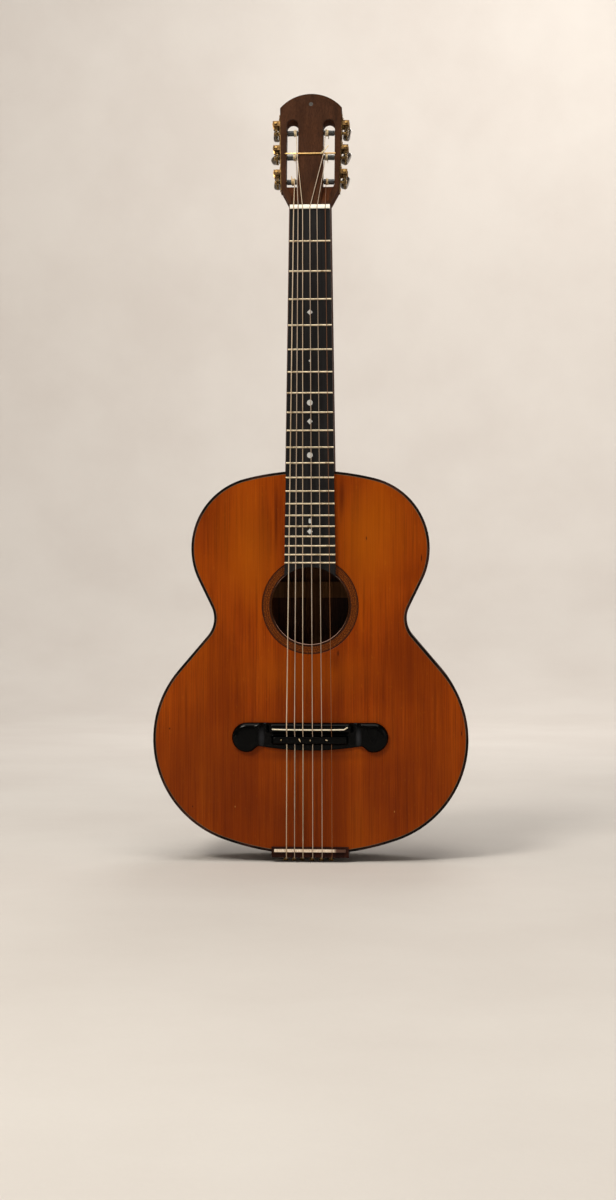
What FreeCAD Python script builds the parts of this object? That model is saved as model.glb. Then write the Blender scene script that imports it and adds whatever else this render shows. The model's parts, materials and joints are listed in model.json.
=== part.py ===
"""A six-string acoustic guitar with a slotted head, modelled piece by piece.

Frame: millimetres, +Z up along the neck. The origin lies on the centre line, where the plane of the
soundboard meets the front edge of the nut. The front faces -Y, so a height above the soundboard is -Y,
and +X is the side of the thin strings.
"""
import FreeCAD, Part
import math
import os

from FreeCAD import Placement, Rotation, Vector

DIMENSIONS = (
    # body outline: arcs and straight runs that follow each other on tangent
    ("body_top", -317.2),
    ("top_radius", 325.0),
    ("top_turn", 14.0),
    ("upper_radius", 88.0),
    ("upper_turn", 102.0),
    ("upper_run", 36.0),
    ("waist_radius", 32.5),
    ("waist_turn", 66.5),
    ("lower_run", 55.5),
    ("lower_radius", 129.5),
    ("lower_turn", 111.0),
    # body depth and walls
    ("heel_end_depth", 90.0),
    ("tail_end_depth", 100.0),
    ("depth_run", 468.0),
    ("back_arch_radius", 3600.0),
    ("soundboard_thickness", 2.8),
    ("back_thickness", 2.6),
    ("rib_thickness", 2.4),
    ("binding_width", 1.8),
    ("binding_depth", 5.0),
    ("lining_width", 6.0),
    ("lining_depth", 14.0),
    ("block_half_width", 36.0),
    ("neck_block_length", 44.0),
    ("tail_block_length", 17.0),
    ("prism_depth", 125.0),
    ("split_reach", 300.0),
    ("split_length", 600.0),
    ("split_lead", 55.0),
    # soundhole and rosette
    ("soundhole_place", -482.0),
    ("soundhole_radius", 47.0),
    ("rosette_inner", 48.6),
    ("rosette_outer", 58.8),
    ("rosette_line", 0.9),
    ("rosette_depth", 1.2),
    # bars under the soundboard and on the back
    ("brace_width", 8.0),
    ("brace_height", 13.0),
    ("bridge_plate_height", 3.0),
    ("bridge_plate_half_span", 90.0),
    ("bridge_plate_margin", 8.0),
    ("back_brace_width", 20.0),
    ("back_brace_height", 10.0),
    ("centre_strip_half_width", 10.0),
    ("centre_strip_height", 2.4),
    # fingerboard and neck
    ("nut_half_width", 24.25),
    ("board_end_half_width", 31.2),
    ("board_thickness", 6.0),
    ("neck_bulge", 1.6),
    ("neck_bulge_depth", 7.0),
    ("neck_top_depth", 19.0),
    ("neck_low_depth", 21.0),
    ("neck_joint_reach", 6.0),
    ("neck_head_reach", 14.0),
    ("heel_depth", 86.4),
    ("heel_cap_thickness", 2.2),
    ("heel_cap_half_width", 11.5),
    ("heel_cap_reach", 16.0),
    # nut, frets, strings
    ("scale_length", 632.0),
    ("nut_thickness", 5.0),
    ("nut_top", 8.1),
    ("nut_bevel", 1.2),
    ("nut_crest_share", 0.32),
    ("nut_notch_fall", 1.9),
    ("string_rise_nut", 7.4),
    ("string_gap", 0.15),
    ("string_rise_saddle", 12.6),
    ("first_fret_space", 39.3),
    ("fret_ratio", 0.93),
    ("fret_crown_width", 2.2),
    ("fret_crown_height", 1.0),
    ("fret_tang_width", 0.6),
    ("fret_tang_depth", 2.0),
    ("inlay_depth", 1.2),
    ("inlay_radius", 3.5),
    ("dot_radius", 1.3),
    ("oval_half_width", 1.5),
    # bridge
    ("bridge_slab_height", 3.6),
    ("bridge_half_span", 66.0),
    ("bridge_top_edge", -624.2),
    ("bridge_low_edge", -658.2),
    ("lobe_place", 77.2),
    ("lobe_centre", -642.2),
    ("lobe_radius", 18.0),
    ("lobe_height", 8.4),
    ("lobe_rim_height", 3.2),
    ("ridge_half_length", 50.0),
    ("ridge_height", 8.8),
    ("ridge_near_rise", 5.2),
    ("ridge_far_rise", 5.0),
    ("ridge_near_slope", 5.2),
    ("ridge_crest_end", 11.4),
    ("ridge_far_end", 14.6),
    ("ridge_foot", 15.0),
    ("slab_overlap", 0.6),
    ("bridge_bow", 6.0),
    ("tie_block_half_length", 45.5),
    ("tie_block_start", -640.4),
    ("tie_block_end", -650.6),
    ("tie_block_height", 9.2),
    ("tie_hole_height", 6.4),
    ("tie_hole_radius", 0.95),
    ("saddle_half_length", 46.0),
    ("saddle_thickness", 2.4),
    ("saddle_floor", 3.0),
    ("saddle_top", 12.3),
    ("saddle_rim_share", 0.42),
    # tail
    ("tail_plate_half_length", 47.0),
    ("tail_plate_start", -775.3),
    ("tail_plate_height", 2.4),
    ("tail_board_thickness", 3.0),
    ("tail_board_depth", 40.0),
    ("tail_board_overlap", 5.0),
    ("tail_bone_half_length", 43.5),
    ("tail_bone_start", -778.0),
    ("tail_bone_width", 3.4),
    ("tail_bone_top", 5.6),
    ("tail_bone_floor", 1.0),
    ("pin_radius", 1.7),
    ("pin_head_radius", 3.2),
    ("pin_place", 18.0),
    ("pin_depth", 8.0),
    ("pin_length", 4.2),
    ("pin_head_thickness", 2.0),
    ("pin_head_rim", 0.7),
    ("tail_spread", 1.02),
    ("loop_gap", 0.05),
    ("loop_turn", 280.0),
    # head, in its own tilted frame
    ("head_angle", 11.0),
    ("head_rise", 5.6),
    ("headplate_thickness", 2.5),
    ("headstock_thickness", 17.0),
    ("head_low_half_width", 35.0),
    ("head_low_place", 21.0),
    ("head_high_half_width", 38.0),
    ("head_high_place", 126.0),
    ("head_crest", 144.4),
    ("slot_inner", 15.3),
    ("slot_outer", 29.5),
    ("slot_start", 26.0),
    ("slot_end", 111.3),
    ("ramp_inner", 12.0),
    ("ramp_outer", 22.5),
    ("ramp_bend", 12.0),
    ("ramp_overlap", 4.0),
    ("ramp_slope", 0.28),
    ("head_dot_place", 131.0),
    ("head_dot_radius", 2.6),
    ("crossbar_radius", 0.9),
    ("crossbar_place", 66.0),
    ("crossbar_half_length", 30.6),
    # tuning machines, in the frame of the head's side
    ("roller_first", 34.3),
    ("roller_pitch", 31.8),
    ("roller_sink", 10.5),
    ("roller_radius", 3.3),
    ("roller_gap", 0.7),
    ("approach_low", 19.2),
    ("approach_high", 18.0),
    ("approach_gap", 0.5),
    ("approach_bend", 45.0),
    ("shaft_radius", 1.9),
    ("shaft_clearance", 0.1),
    ("plate_thickness", 1.2),
    ("plate_half_width", 8.5),
    ("plate_start", 21.4),
    ("plate_end", 119.0),
    ("screw_radius", 1.2),
    ("screw_length", 3.6),
    ("screw_inset", 2.5),
    ("dome_radius", 2.6),
    ("dome_sink", 1.6),
    ("gear_module", 0.95),
    ("gear_teeth", 16),
    ("gear_thickness", 2.4),
    ("gear_gap", 1.3),
    ("gear_shaft_reach", 1.0),
    ("roller_shaft_seat", 4.0),
    ("tooth_tip", 0.8),
    ("tooth_root", 1.15),
    ("tooth_foot_share", 0.30),
    ("tooth_crest_share", 0.13),
    ("worm_pitch_radius", 3.4),
    ("worm_half_length", 5.8),
    ("worm_tip_height", 0.75),
    ("worm_root_depth", 1.1),
    ("thread_root_width", 1.24),
    ("thread_tip_width", 0.64),
    ("thread_sink", 0.3),
    ("thread_turns", 6),
    ("worm_plain_end", 0.5),
    ("spindle_overlap", 6.0),
    ("spindle_tail", 3.4),
    ("worm_shaft_radius", 1.5),
    ("ear_thickness", 1.4),
    ("ear_half_width", 3.2),
    ("ear_margin", 2.0),
    ("ear_play", 0.3),
    ("button_place", 27.0),
    ("button_length", 15.0),
    ("button_width", 17.0),
    ("button_thickness", 8.4),
    ("button_rim_share", 0.36),
    ("collar_radius", 2.6),
    ("collar_length", 5.0),
    ("collar_overlap", 2.6),
)

FRET_COUNT = 20
# outline of each inlay in the fingerboard, by the fret in front of which it lies
INLAYS = {4: "diamond", 6: "dot", 8: "round", 9: "diamond", 11: "round", 16: "oval", 17: "diamond"}
# the six strings from bass to treble: places across the nut and the saddle, and radii
NUT_PLACES = (-19.6, -14.2, -8.7, 0.0, 8.7, 18.7)
SADDLE_PLACES = (-28.0, -18.3, -8.3, 3.4, 14.6, 26.4)
STRING_RADII = (0.62, 0.54, 0.46, 0.50, 0.42, 0.34)
# heights of the bars under the soundboard and on the back, from the soundhole's centre
FRONT_BARS = (68.0, -62.0, -112.0, -214.0)
BACK_BARS = (92.0, 20.0, -110.0, -210.0)
# sections of the heel: depth behind the soundboard, half width and reach up the neck
HEEL = ((9.0, 28.0, 84.0), (24.0, 22.5, 54.0), (48.0, 16.5, 34.0))
# how far each tuning button is turned from lying flat along the head
BUTTON_ANGLES = (12.0, 62.0, 8.0, 10.0, 24.0, 16.0)

os.makedirs("parts", exist_ok=True)
doc = FreeCAD.newDocument("guitar")
sheet = doc.addObject("Spreadsheet::Sheet", "dims")
for row, (alias, value) in enumerate(DIMENSIONS, start=1):
    sheet.set(f"A{row}", alias)
    sheet.set(f"B{row}", str(value))
    sheet.setAlias(f"B{row}", alias)
doc.recompute()

pieces = []


def dim(alias):
    """A driving dimension, read from the sheet."""
    return float(sheet.get(alias))


def keep(label, part, placement=None):
    """Name a finished piece; its label names its file."""
    part.Label = label
    if placement is not None:
        part.Placement = placement
    pieces.append(part)
    return part


# ---------------------------------------------------------------- building blocks


def origin_plane(body, role):
    """One of the body's own origin planes."""
    for feature in body.Origin.OriginFeatures:
        if feature.Role == role:
            return feature
    raise RuntimeError(f"no {role} in {body.Label}")


def new_sketch(body, name, geometry, role="XZ_Plane", lift=None):
    """A sketch on an origin plane of its body, lifted along the plane's normal."""
    sketch = body.newObject("Sketcher::SketchObject", name)
    sketch.AttachmentSupport = [(origin_plane(body, role), "")]
    sketch.MapMode = "FlatFace"
    if lift is not None:
        sketch.setExpression(".AttachmentOffset.Base.z", lift)
    sketch.addGeometry(geometry, False)
    return sketch


def pad(body, sketch, length):
    """Pad a sketch of the body."""
    feature = body.newObject("PartDesign::Pad", sketch.Name + "_pad")
    feature.Profile = sketch
    feature.setExpression("Length", length)
    return feature


def pocket(body, sketch, depth=None):
    """Cut a sketch into the body, to a depth or right through, and check that it cut something."""
    doc.recompute()
    before = body.Shape.Volume
    feature = body.newObject("PartDesign::Pocket", sketch.Name + "_pocket")
    feature.Profile = sketch
    if depth is None:
        feature.Type = "ThroughAll"
        feature.SideType = "Two sides"
        feature.Type2 = "ThroughAll"
    else:
        feature.setExpression("Length", depth)
    doc.recompute()
    if body.Shape.Volume > before - 1.0:
        raise RuntimeError(f"{feature.Name} cuts nothing")
    return feature


def padded(name, geometry, length, lift=None, role="XZ_Plane"):
    """A body made of one padded outline; on the XZ plane it grows towards the front."""
    body = doc.addObject("PartDesign::Body", name)
    pad(body, new_sketch(body, name + "_sketch", geometry, role, lift), length)
    return body


def boolean(kind, name, base, tool):
    """Part::Cut or Part::Common of two objects."""
    result = doc.addObject("Part::" + kind, name)
    result.Base = base
    result.Tool = tool
    return result


def fused(name, parts):
    """Several objects in one solid."""
    result = doc.addObject("Part::MultiFuse", name)
    result.Shapes = parts
    return result


def own_shape(name, shape, placement=None):
    """A feature with a shape of its own."""
    feature = doc.addObject("Part::Feature", name)
    feature.Shape = shape
    if placement is not None:
        feature.Placement = placement
    return feature


def box(name, low, high):
    """A Part::Box between two corners, given as expressions."""
    result = doc.addObject("Part::Box", name)
    for axis, side, start, end in zip("xyz", ("Length", "Width", "Height"), low, high):
        result.setExpression(f".Placement.Base.{axis}", start)
        result.setExpression(side, f"({end}) - ({start})")
    return result


def solid_box(low, high):
    """A plain box shape between two corners."""
    size = high - low
    return Part.makeBox(size.x, size.y, size.z, low)


def rod(start, end, radius):
    """A plain cylinder shape between two points."""
    return Part.makeCylinder(radius, (end - start).Length, start, end - start)


def prism(points, along):
    """A straight prism over a flat polygon."""
    return Part.Face(Part.makePolygon(points + points[:1])).extrude(along)


def line(start, end):
    """A straight sketch line between two (x, y) pairs."""
    return Part.LineSegment(Vector(*start, 0), Vector(*end, 0))


def circle(centre, radius):
    """A sketch circle round an (x, y) pair."""
    return Part.Circle(Vector(*centre, 0), Vector(0, 0, 1), radius)


def polar(radius, degrees):
    """A point at an angle round the origin."""
    return Vector(radius * math.cos(math.radians(degrees)), radius * math.sin(math.radians(degrees)), 0)


def matrix_of(origin, x_axis, y_axis, z_axis):
    """Matrix that takes the local axes to the given vectors."""
    matrix = FreeCAD.Matrix()
    matrix.A11, matrix.A21, matrix.A31 = x_axis.x, x_axis.y, x_axis.z
    matrix.A12, matrix.A22, matrix.A32 = y_axis.x, y_axis.y, y_axis.z
    matrix.A13, matrix.A23, matrix.A33 = z_axis.x, z_axis.y, z_axis.z
    matrix.A14, matrix.A24, matrix.A34 = origin.x, origin.y, origin.z
    return matrix


# ---------------------------------------------------------------- body outline


def half_outline(offset, side):
    """Half of the body's outline, moved outwards, from the neck joint to the tail."""
    place = Vector(0, dim("body_top"), 0)
    heading = 0.0
    geometry = []
    steps = [
        ("convex", dim("top_radius"), dim("top_turn")),
        ("convex", dim("upper_radius"), dim("upper_turn")),
        ("straight", dim("upper_run"), 0.0),
        ("concave", dim("waist_radius"), dim("waist_turn")),
        ("straight", dim("lower_run"), 0.0),
        ("convex", dim("lower_radius"), dim("lower_turn")),
        ("closing", 0.0, 0.0),
    ]
    for kind, size, turn in steps:
        if kind == "straight":
            end = place + polar(size, heading)
            shift = polar(offset, heading + 90)
            geometry.append(mirrored_line(place + shift, end + shift, side))
            place = end
            continue
        if kind == "closing":
            size = place.x / math.sin(math.radians(-heading))
            turn = 180 + heading
        bend = -1 if kind == "concave" else 1
        centre = place - polar(size, heading + 90) * bend
        first = heading + 90 * bend
        last = first - turn * bend
        geometry.append(mirrored_arc(centre, size + offset * bend, first, last, side))
        place = centre + polar(size, last)
        heading -= turn * bend
    return geometry


def mirrored_line(start, end, side):
    """A sketch line on the given side of the centre line."""
    return line((start.x * side, start.y), (end.x * side, end.y))


def mirrored_arc(centre, radius, first, last, side):
    """A sketch arc on the given side of the centre line."""
    if side < 0:
        first, last = 180 - first, 180 - last
    low, high = sorted((math.radians(first), math.radians(last)))
    return Part.ArcOfCircle(circle((centre.x * side, centre.y), radius), low, high)


def outline(offset=0.0):
    """The body's whole outline, moved outwards by an offset."""
    return half_outline(offset, 1) + half_outline(offset, -1)


def outline_prism(name, offset, length, lift):
    """A solid over the body's outline."""
    return padded(name, outline(offset), length, lift)


def ring_prism(name, outer, inner, length, lift):
    """A wall that follows the body's outline, between two offsets."""
    return padded(name, outline(outer) + outline(inner), length, lift)


def back_form(name, inset):
    """A long cylinder whose far side is the arched back, or a surface parallel to it."""
    run = Vector(0, dim("tail_end_depth") - dim("heel_end_depth"), -dim("depth_run")).normalize()
    outwards = Vector(0, -run.z, run.y)
    on_back = Vector(0, dim("heel_end_depth"), dim("body_top"))
    form = doc.addObject("Part::Cylinder", name)
    form.setExpression("Radius", f"dims.back_arch_radius - ({inset})")
    form.setExpression("Height", "dims.split_length")
    start = on_back - outwards * dim("back_arch_radius") - run * dim("split_lead")
    form.Placement = Placement(start, Rotation(Vector(0, 0, 1), run))
    return form


SOUNDBOARD = dim("soundboard_thickness")
RIB = dim("rib_thickness")
BINDING = dim("binding_width")
LINING = RIB + dim("lining_width")
PRISM_LIFT = "-dims.prism_depth"


def make_shell():
    """Soundboard, rosette, back, ribs, bindings, linings and end blocks."""
    back_outside = back_form("back_outside", "0")
    back_inside = back_form("back_inside", "dims.back_thickness")
    binding_floor = back_form("binding_floor", "dims.binding_depth")
    lining_floor = back_form("lining_floor", "dims.back_thickness + dims.lining_depth")

    front_binding = ring_prism("front_binding", 0, -BINDING, "dims.binding_depth", "-dims.binding_depth")
    keep("front_binding", front_binding)
    edge = ring_prism("back_edge", 0, -BINDING, "dims.prism_depth", PRISM_LIFT)
    edge = boolean("Common", "back_edge_arched", edge, back_outside)
    back_binding = keep("back_binding", boolean("Cut", "back_binding", edge, binding_floor))

    panel = outline_prism("back_panel", -BINDING, "dims.prism_depth", PRISM_LIFT)
    panel = boolean("Common", "back_panel_arched", panel, back_outside)
    keep("back_plate", boolean("Cut", "back_plate", panel, back_inside))

    wall = ring_prism("rib_wall", 0, -RIB, "dims.prism_depth - dims.soundboard_thickness", PRISM_LIFT)
    wall = boolean("Common", "rib_wall_arched", wall, back_inside)
    wall = boolean("Cut", "rib_wall_front", wall, front_binding)
    wall = boolean("Cut", "rib_wall_back", wall, back_binding)
    depth = ("-1", "dims.prism_depth")
    low_end = "dims.body_top + dims.split_lead - dims.split_length"
    high_end = "dims.body_top + dims.split_lead"
    bass_half = box("bass_half", ("-dims.split_reach", depth[0], low_end), ("0", depth[1], high_end))
    treble_half = box("treble_half", ("0", depth[0], low_end), ("dims.split_reach", depth[1], high_end))
    keep("rib_bass", boolean("Common", "rib_bass", wall, bass_half))
    keep("rib_treble", boolean("Common", "rib_treble", wall, treble_half))

    core = outline_prism("core", -RIB, "dims.prism_depth - dims.soundboard_thickness", PRISM_LIFT)
    core = boolean("Common", "core_arched", core, back_inside)
    tail = dim("body_top") - body_length()
    half = "dims.block_half_width"
    neck_zone = box(
        "neck_zone",
        (f"-{half}", "0", "dims.body_top - dims.neck_block_length"),
        (half, "dims.prism_depth", "dims.body_top + dims.split_lead"),
    )
    tail_zone = box(
        "tail_zone",
        (f"-{half}", "0", f"{tail}"),
        (half, "dims.prism_depth", f"{tail} + dims.tail_block_length"),
    )
    neck_block = keep("neck_block", boolean("Common", "neck_block", core, neck_zone))
    tail_block = keep("tail_block", boolean("Common", "tail_block", core, tail_zone))

    lift = "-dims.soundboard_thickness - dims.lining_depth"
    front_lining = ring_prism("front_lining_ring", -RIB, -LINING, "dims.lining_depth", lift)
    front_lining = boolean("Cut", "front_lining_open", front_lining, neck_block)
    keep("front_lining", boolean("Cut", "front_lining", front_lining, tail_block))
    back_lining = ring_prism("back_lining_ring", -RIB, -LINING, "dims.prism_depth", PRISM_LIFT)
    back_lining = boolean("Common", "back_lining_arched", back_lining, back_inside)
    back_lining = boolean("Cut", "back_lining_floor", back_lining, lining_floor)
    back_lining = boolean("Cut", "back_lining_open", back_lining, neck_block)
    keep("back_lining", boolean("Cut", "back_lining", back_lining, tail_block))
    return back_inside, neck_block, tail_block


def body_length():
    """Length of the body along the centre line."""
    lowest = min(edge.toShape().BoundBox.YMin for edge in outline())
    return dim("body_top") - lowest


def make_soundboard():
    """Soundboard with its hole and the groove that holds the rosette."""
    centre = (0, dim("soundhole_place"))
    thickness = "dims.soundboard_thickness"
    body = outline_prism("soundboard", -BINDING, thickness, f"-{thickness}")
    pocket(body, new_sketch(body, "soundhole", [circle(centre, dim("soundhole_radius"))]))
    inner, outer = dim("rosette_inner"), dim("rosette_outer")
    groove = [circle(centre, inner), circle(centre, outer)]
    pocket(body, new_sketch(body, "rosette_groove", groove), "dims.rosette_depth")
    keep("soundboard", body)

    edges = (inner, inner + dim("rosette_line"), outer - dim("rosette_line"), outer)
    rings = []
    for small, large in zip(edges, edges[1:]):
        rings.append(rosette_ring(small, large))
    keep("rosette", own_shape("rosette", Part.makeCompound(rings)))


def rosette_ring(small, large):
    """One flat ring of the rosette, flush with the soundboard."""
    centre = Vector(0, 0, dim("soundhole_place"))
    depth = dim("rosette_depth")
    into = Vector(0, 1, 0)
    return Part.makeCylinder(large, depth, centre, into).cut(Part.makeCylinder(small, depth, centre, into))


def make_bars(back_inside, neck_block, tail_block):
    """Bars under the soundboard, the bridge plate, and the bars and centre strip on the back."""
    inside = outline_prism("lined_room", -LINING, "dims.prism_depth - dims.soundboard_thickness", PRISM_LIFT)
    hole = dim("soundhole_place")
    reach = dim("split_reach")
    half = dim("brace_width") / 2
    shoulder, crest = SOUNDBOARD + dim("brace_height") * 0.7, SOUNDBOARD + dim("brace_height")
    bars = []
    for place in (hole + step for step in FRONT_BARS):
        profile = [
            Vector(-reach, SOUNDBOARD, place - half),
            Vector(-reach, SOUNDBOARD, place + half),
            Vector(-reach, shoulder, place + half * 0.8),
            Vector(-reach, crest, place),
            Vector(-reach, shoulder, place - half * 0.8),
        ]
        bars.append(prism(profile, Vector(2 * reach, 0, 0)))
    span, margin = dim("bridge_plate_half_span"), dim("bridge_plate_margin")
    plate_low = Vector(-span, SOUNDBOARD, dim("bridge_low_edge") - margin)
    plate_high = Vector(span, SOUNDBOARD + dim("bridge_plate_height"), dim("bridge_top_edge") + margin)
    bars.append(solid_box(plate_low, plate_high))
    bars = own_shape("front_bars", Part.makeCompound(bars))
    keep("soundboard_braces", boolean("Common", "soundboard_braces", bars, inside))

    bar_floor = back_form("bar_floor", "dims.back_thickness + dims.back_brace_height")
    strip_floor = back_form("strip_floor", "dims.back_thickness + dims.centre_strip_height")
    skin = boolean("Common", "back_skin", inside, back_inside)
    bar_skin = boolean("Cut", "bar_skin", skin, bar_floor)
    bands = []
    half = dim("back_brace_width") / 2
    for place in (hole + step for step in BACK_BARS):
        low, high = Vector(-reach, 0, place - half), Vector(reach, dim("prism_depth"), place + half)
        bands.append(solid_box(low, high))
    bands = own_shape("back_bands", Part.makeCompound(bands))
    bars_on_back = boolean("Common", "bars_on_back", bar_skin, bands)
    strip_skin = boolean("Cut", "strip_skin", skin, strip_floor)
    half = "dims.centre_strip_half_width"
    low = "dims.body_top - dims.split_length"
    middle = box("strip_zone", (f"-{half}", "0", low), (half, "dims.prism_depth", "dims.body_top"))
    strip = boolean("Common", "strip_band", strip_skin, middle)
    for number, other in enumerate((bars_on_back, neck_block, tail_block)):
        strip = boolean("Cut", f"strip_cut_{number}", strip, other)
    together = doc.addObject("Part::Compound", "back_braces")
    together.Links = [bars_on_back, strip]
    keep("back_braces", together)


# ---------------------------------------------------------------- neck and fingerboard


def board_corner():
    """Z of the fingerboard's end corners: its end is an arc round the soundhole."""
    rise = math.sqrt(dim("soundhole_radius") ** 2 - dim("board_end_half_width") ** 2)
    return dim("soundhole_place") + rise


def board_half_width(place):
    """Half width of the fingerboard at a height along the neck."""
    share = place / board_corner()
    return dim("nut_half_width") + share * (dim("board_end_half_width") - dim("nut_half_width"))


def fret_place(number):
    """Height of a fret: each space is the same share shorter than the one before it."""
    return -dim("first_fret_space") * (1 - dim("fret_ratio") ** number) / (1 - dim("fret_ratio"))


def space_middle(number):
    """Middle of the playing space in front of a fret."""
    return (fret_place(number) + fret_place(number - 1)) / 2


def inlay_shape(kind, place, depth):
    """One inlay, sunk from the face of the fingerboard."""
    face = Vector(0, -dim("board_thickness"), place)
    into = Vector(0, 1, 0)
    if kind == "diamond":
        reach = dim("inlay_radius")
        corners = [(reach, 0), (0, reach), (-reach, 0), (0, -reach)]
        return prism([face + Vector(x, 0, z) for x, z in corners], into * depth)
    if kind == "oval":
        half = dim("oval_half_width")
        rise = Vector(0, 0, half)
        bar = solid_box(face - rise - Vector(half, 0, 0), face + rise + Vector(half, depth, 0))
        ends = [Part.makeCylinder(half, depth, face + shift, into) for shift in (rise, -rise)]
        return bar.fuse(ends).removeSplitter()
    radius = dim("dot_radius") if kind == "dot" else dim("inlay_radius")
    return Part.makeCylinder(radius, depth, face, into)


def fret_shape(number, tang_only=False):
    """One fret wire across the fingerboard, crown and tang, or the slot for its tang."""
    place = fret_place(number)
    half = board_half_width(place)
    face = -dim("board_thickness")
    tang = dim("fret_tang_width") / 2
    low = Vector(-half - 1 if tang_only else -half, face, place - tang)
    high = Vector(half + 1 if tang_only else half, face + dim("fret_tang_depth"), place + tang)
    root = solid_box(low, high)
    if tang_only:
        return root
    reach = dim("fret_crown_width") / 2
    start = Vector(-half, face, place - reach)
    crest = Vector(-half, face - dim("fret_crown_height"), place)
    end = Vector(-half, face, place + reach)
    crown = Part.Wire([Part.Arc(start, crest, end).toShape(), Part.makeLine(end, start)])
    return Part.Face(crown).extrude(Vector(2 * half, 0, 0)).fuse(root)


def make_fingerboard():
    """Fingerboard, frets and inlays, with the one in the head."""
    corner = board_corner()
    nut_half, end_half = dim("nut_half_width"), dim("board_end_half_width")
    reach = math.degrees(math.asin(end_half / dim("soundhole_radius")))
    end_circle = circle((0, dim("soundhole_place")), dim("soundhole_radius"))
    end_arc = Part.ArcOfCircle(end_circle, math.radians(90 - reach), math.radians(90 + reach))
    outline_lines = [
        line((-end_half, corner), (-nut_half, 0)),
        line((-nut_half, 0), (nut_half, 0)),
        line((nut_half, 0), (end_half, corner)),
        end_arc,
    ]
    blank = padded("board_blank", outline_lines, "dims.board_thickness")
    sunk = [fret_shape(number, tang_only=True) for number in range(1, FRET_COUNT + 1)]
    inlays = [inlay_shape(kind, space_middle(number), dim("inlay_depth")) for number, kind in INLAYS.items()]
    recesses = own_shape("board_recesses", Part.makeCompound(sunk + inlays))
    keep("fingerboard", boolean("Cut", "fingerboard", blank, recesses))
    frets = [fret_shape(number) for number in range(1, FRET_COUNT + 1)]
    keep("frets", own_shape("frets", Part.makeCompound(frets)))
    dot = dot_shape()
    dot.Placement = HEAD.multiply(dot.Placement)
    keep("inlays", own_shape("inlays", Part.makeCompound(inlays + [dot])))


def half_ellipse_wire(centre, half_width, reach, towards):
    """A half ellipse with its straight side across X and its crown in a given direction."""
    across = Vector(1, 0, 0)
    arc = Part.ArcOfCircle(Part.Circle(Vector(0, 0, 0), Vector(0, 0, 1), 1.0), 0, math.pi).toShape()
    stretched = matrix_of(centre, across * half_width, towards * reach, across.cross(towards))
    crown = arc.transformGeometry(stretched)
    base = Part.makeLine(centre - across * half_width, centre + across * half_width)
    return Part.Wire([crown.Edges[0], base])


def neck_section(place, half, depth):
    """Section of the neck: flat in front, wider behind the fingerboard and round at the back."""
    wide, shoulder = half + dim("neck_bulge"), dim("neck_bulge_depth")
    reach = depth - shoulder
    crown = half_ellipse_wire(Vector(0, shoulder, place), wide, reach, Vector(0, 1, 0)).Edges[0]
    corners = [Vector(-wide, shoulder, place), Vector(-half, 0, place), Vector(half, 0, place)]
    corners.append(Vector(wide, shoulder, place))
    return Part.Wire([crown] + Part.makePolygon(corners).Edges)


def make_neck(head_slab):
    """Neck shaft and heel, cut to the body and to the head."""
    root = dim("body_top") - dim("neck_joint_reach")
    sections = []
    for place, depth in ((dim("neck_head_reach"), dim("neck_top_depth")), (root, dim("neck_low_depth"))):
        sections.append(neck_section(place, board_half_width(min(place, 0)), depth))
    shaft = own_shape("neck_shaft", Part.makeLoft(sections, True, True))
    up = Vector(0, 0, 1)
    sections = [half_ellipse_wire(Vector(0, depth, root), half, reach, up) for depth, half, reach in HEEL]
    cap_half, cap_reach = dim("heel_cap_half_width"), dim("heel_cap_reach") + dim("neck_joint_reach")
    at_cap = Vector(0, dim("heel_depth"), root)
    sections.append(half_ellipse_wire(at_cap, cap_half, cap_reach, up))
    heel = own_shape("heel_form", Part.makeLoft(sections, True, False))
    form = fused("neck_form", [shaft, heel])
    around = outline_prism("body_block", 0, "dims.prism_depth + 5", PRISM_LIFT)
    form = boolean("Cut", "neck_to_body", form, around)
    keep("neck", boolean("Cut", "neck", form, head_slab))

    cap_wire = half_ellipse_wire(at_cap, cap_half, cap_reach, up)
    cap = own_shape("cap_form", Part.Face(cap_wire).extrude(Vector(0, dim("heel_cap_thickness"), 0)))
    keep("heel_cap", boolean("Cut", "heel_cap", cap, around))


# ---------------------------------------------------------------- head

HEAD = Placement(
    Vector(0, -dim("head_rise"), dim("nut_thickness")), Rotation(Vector(1, 0, 0), -dim("head_angle"))
)


def head_outline():
    """Outline of the head in its own frame, with an arched crest."""
    low = (dim("head_low_half_width"), dim("head_low_place"))
    high = (dim("head_high_half_width"), dim("head_high_place"))
    nut_half = dim("nut_half_width")
    crest = Part.Arc(Vector(*high, 0), Vector(0, dim("head_crest"), 0), Vector(-high[0], high[1], 0))
    return [
        line((-nut_half, 0), (nut_half, 0)),
        line((nut_half, 0), low),
        line(low, high),
        crest,
        line((-high[0], high[1]), (-low[0], low[1])),
        line((-low[0], low[1]), (-nut_half, 0)),
    ]


def slot_outline(side):
    """One slot of the head: a round upper end and a lower end cut square."""
    inner, outer = dim("slot_inner") * side, dim("slot_outer") * side
    radius = (dim("slot_outer") - dim("slot_inner")) / 2
    shoulder = dim("slot_end") - radius
    start = dim("slot_start")
    middle = Vector((inner + outer) / 2, dim("slot_end"), 0)
    return [
        line((inner, start), (inner, shoulder)),
        Part.Arc(Vector(inner, shoulder, 0), middle, Vector(outer, shoulder, 0)),
        line((outer, shoulder), (outer, start)),
        line((outer, start), (inner, start)),
    ]


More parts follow.
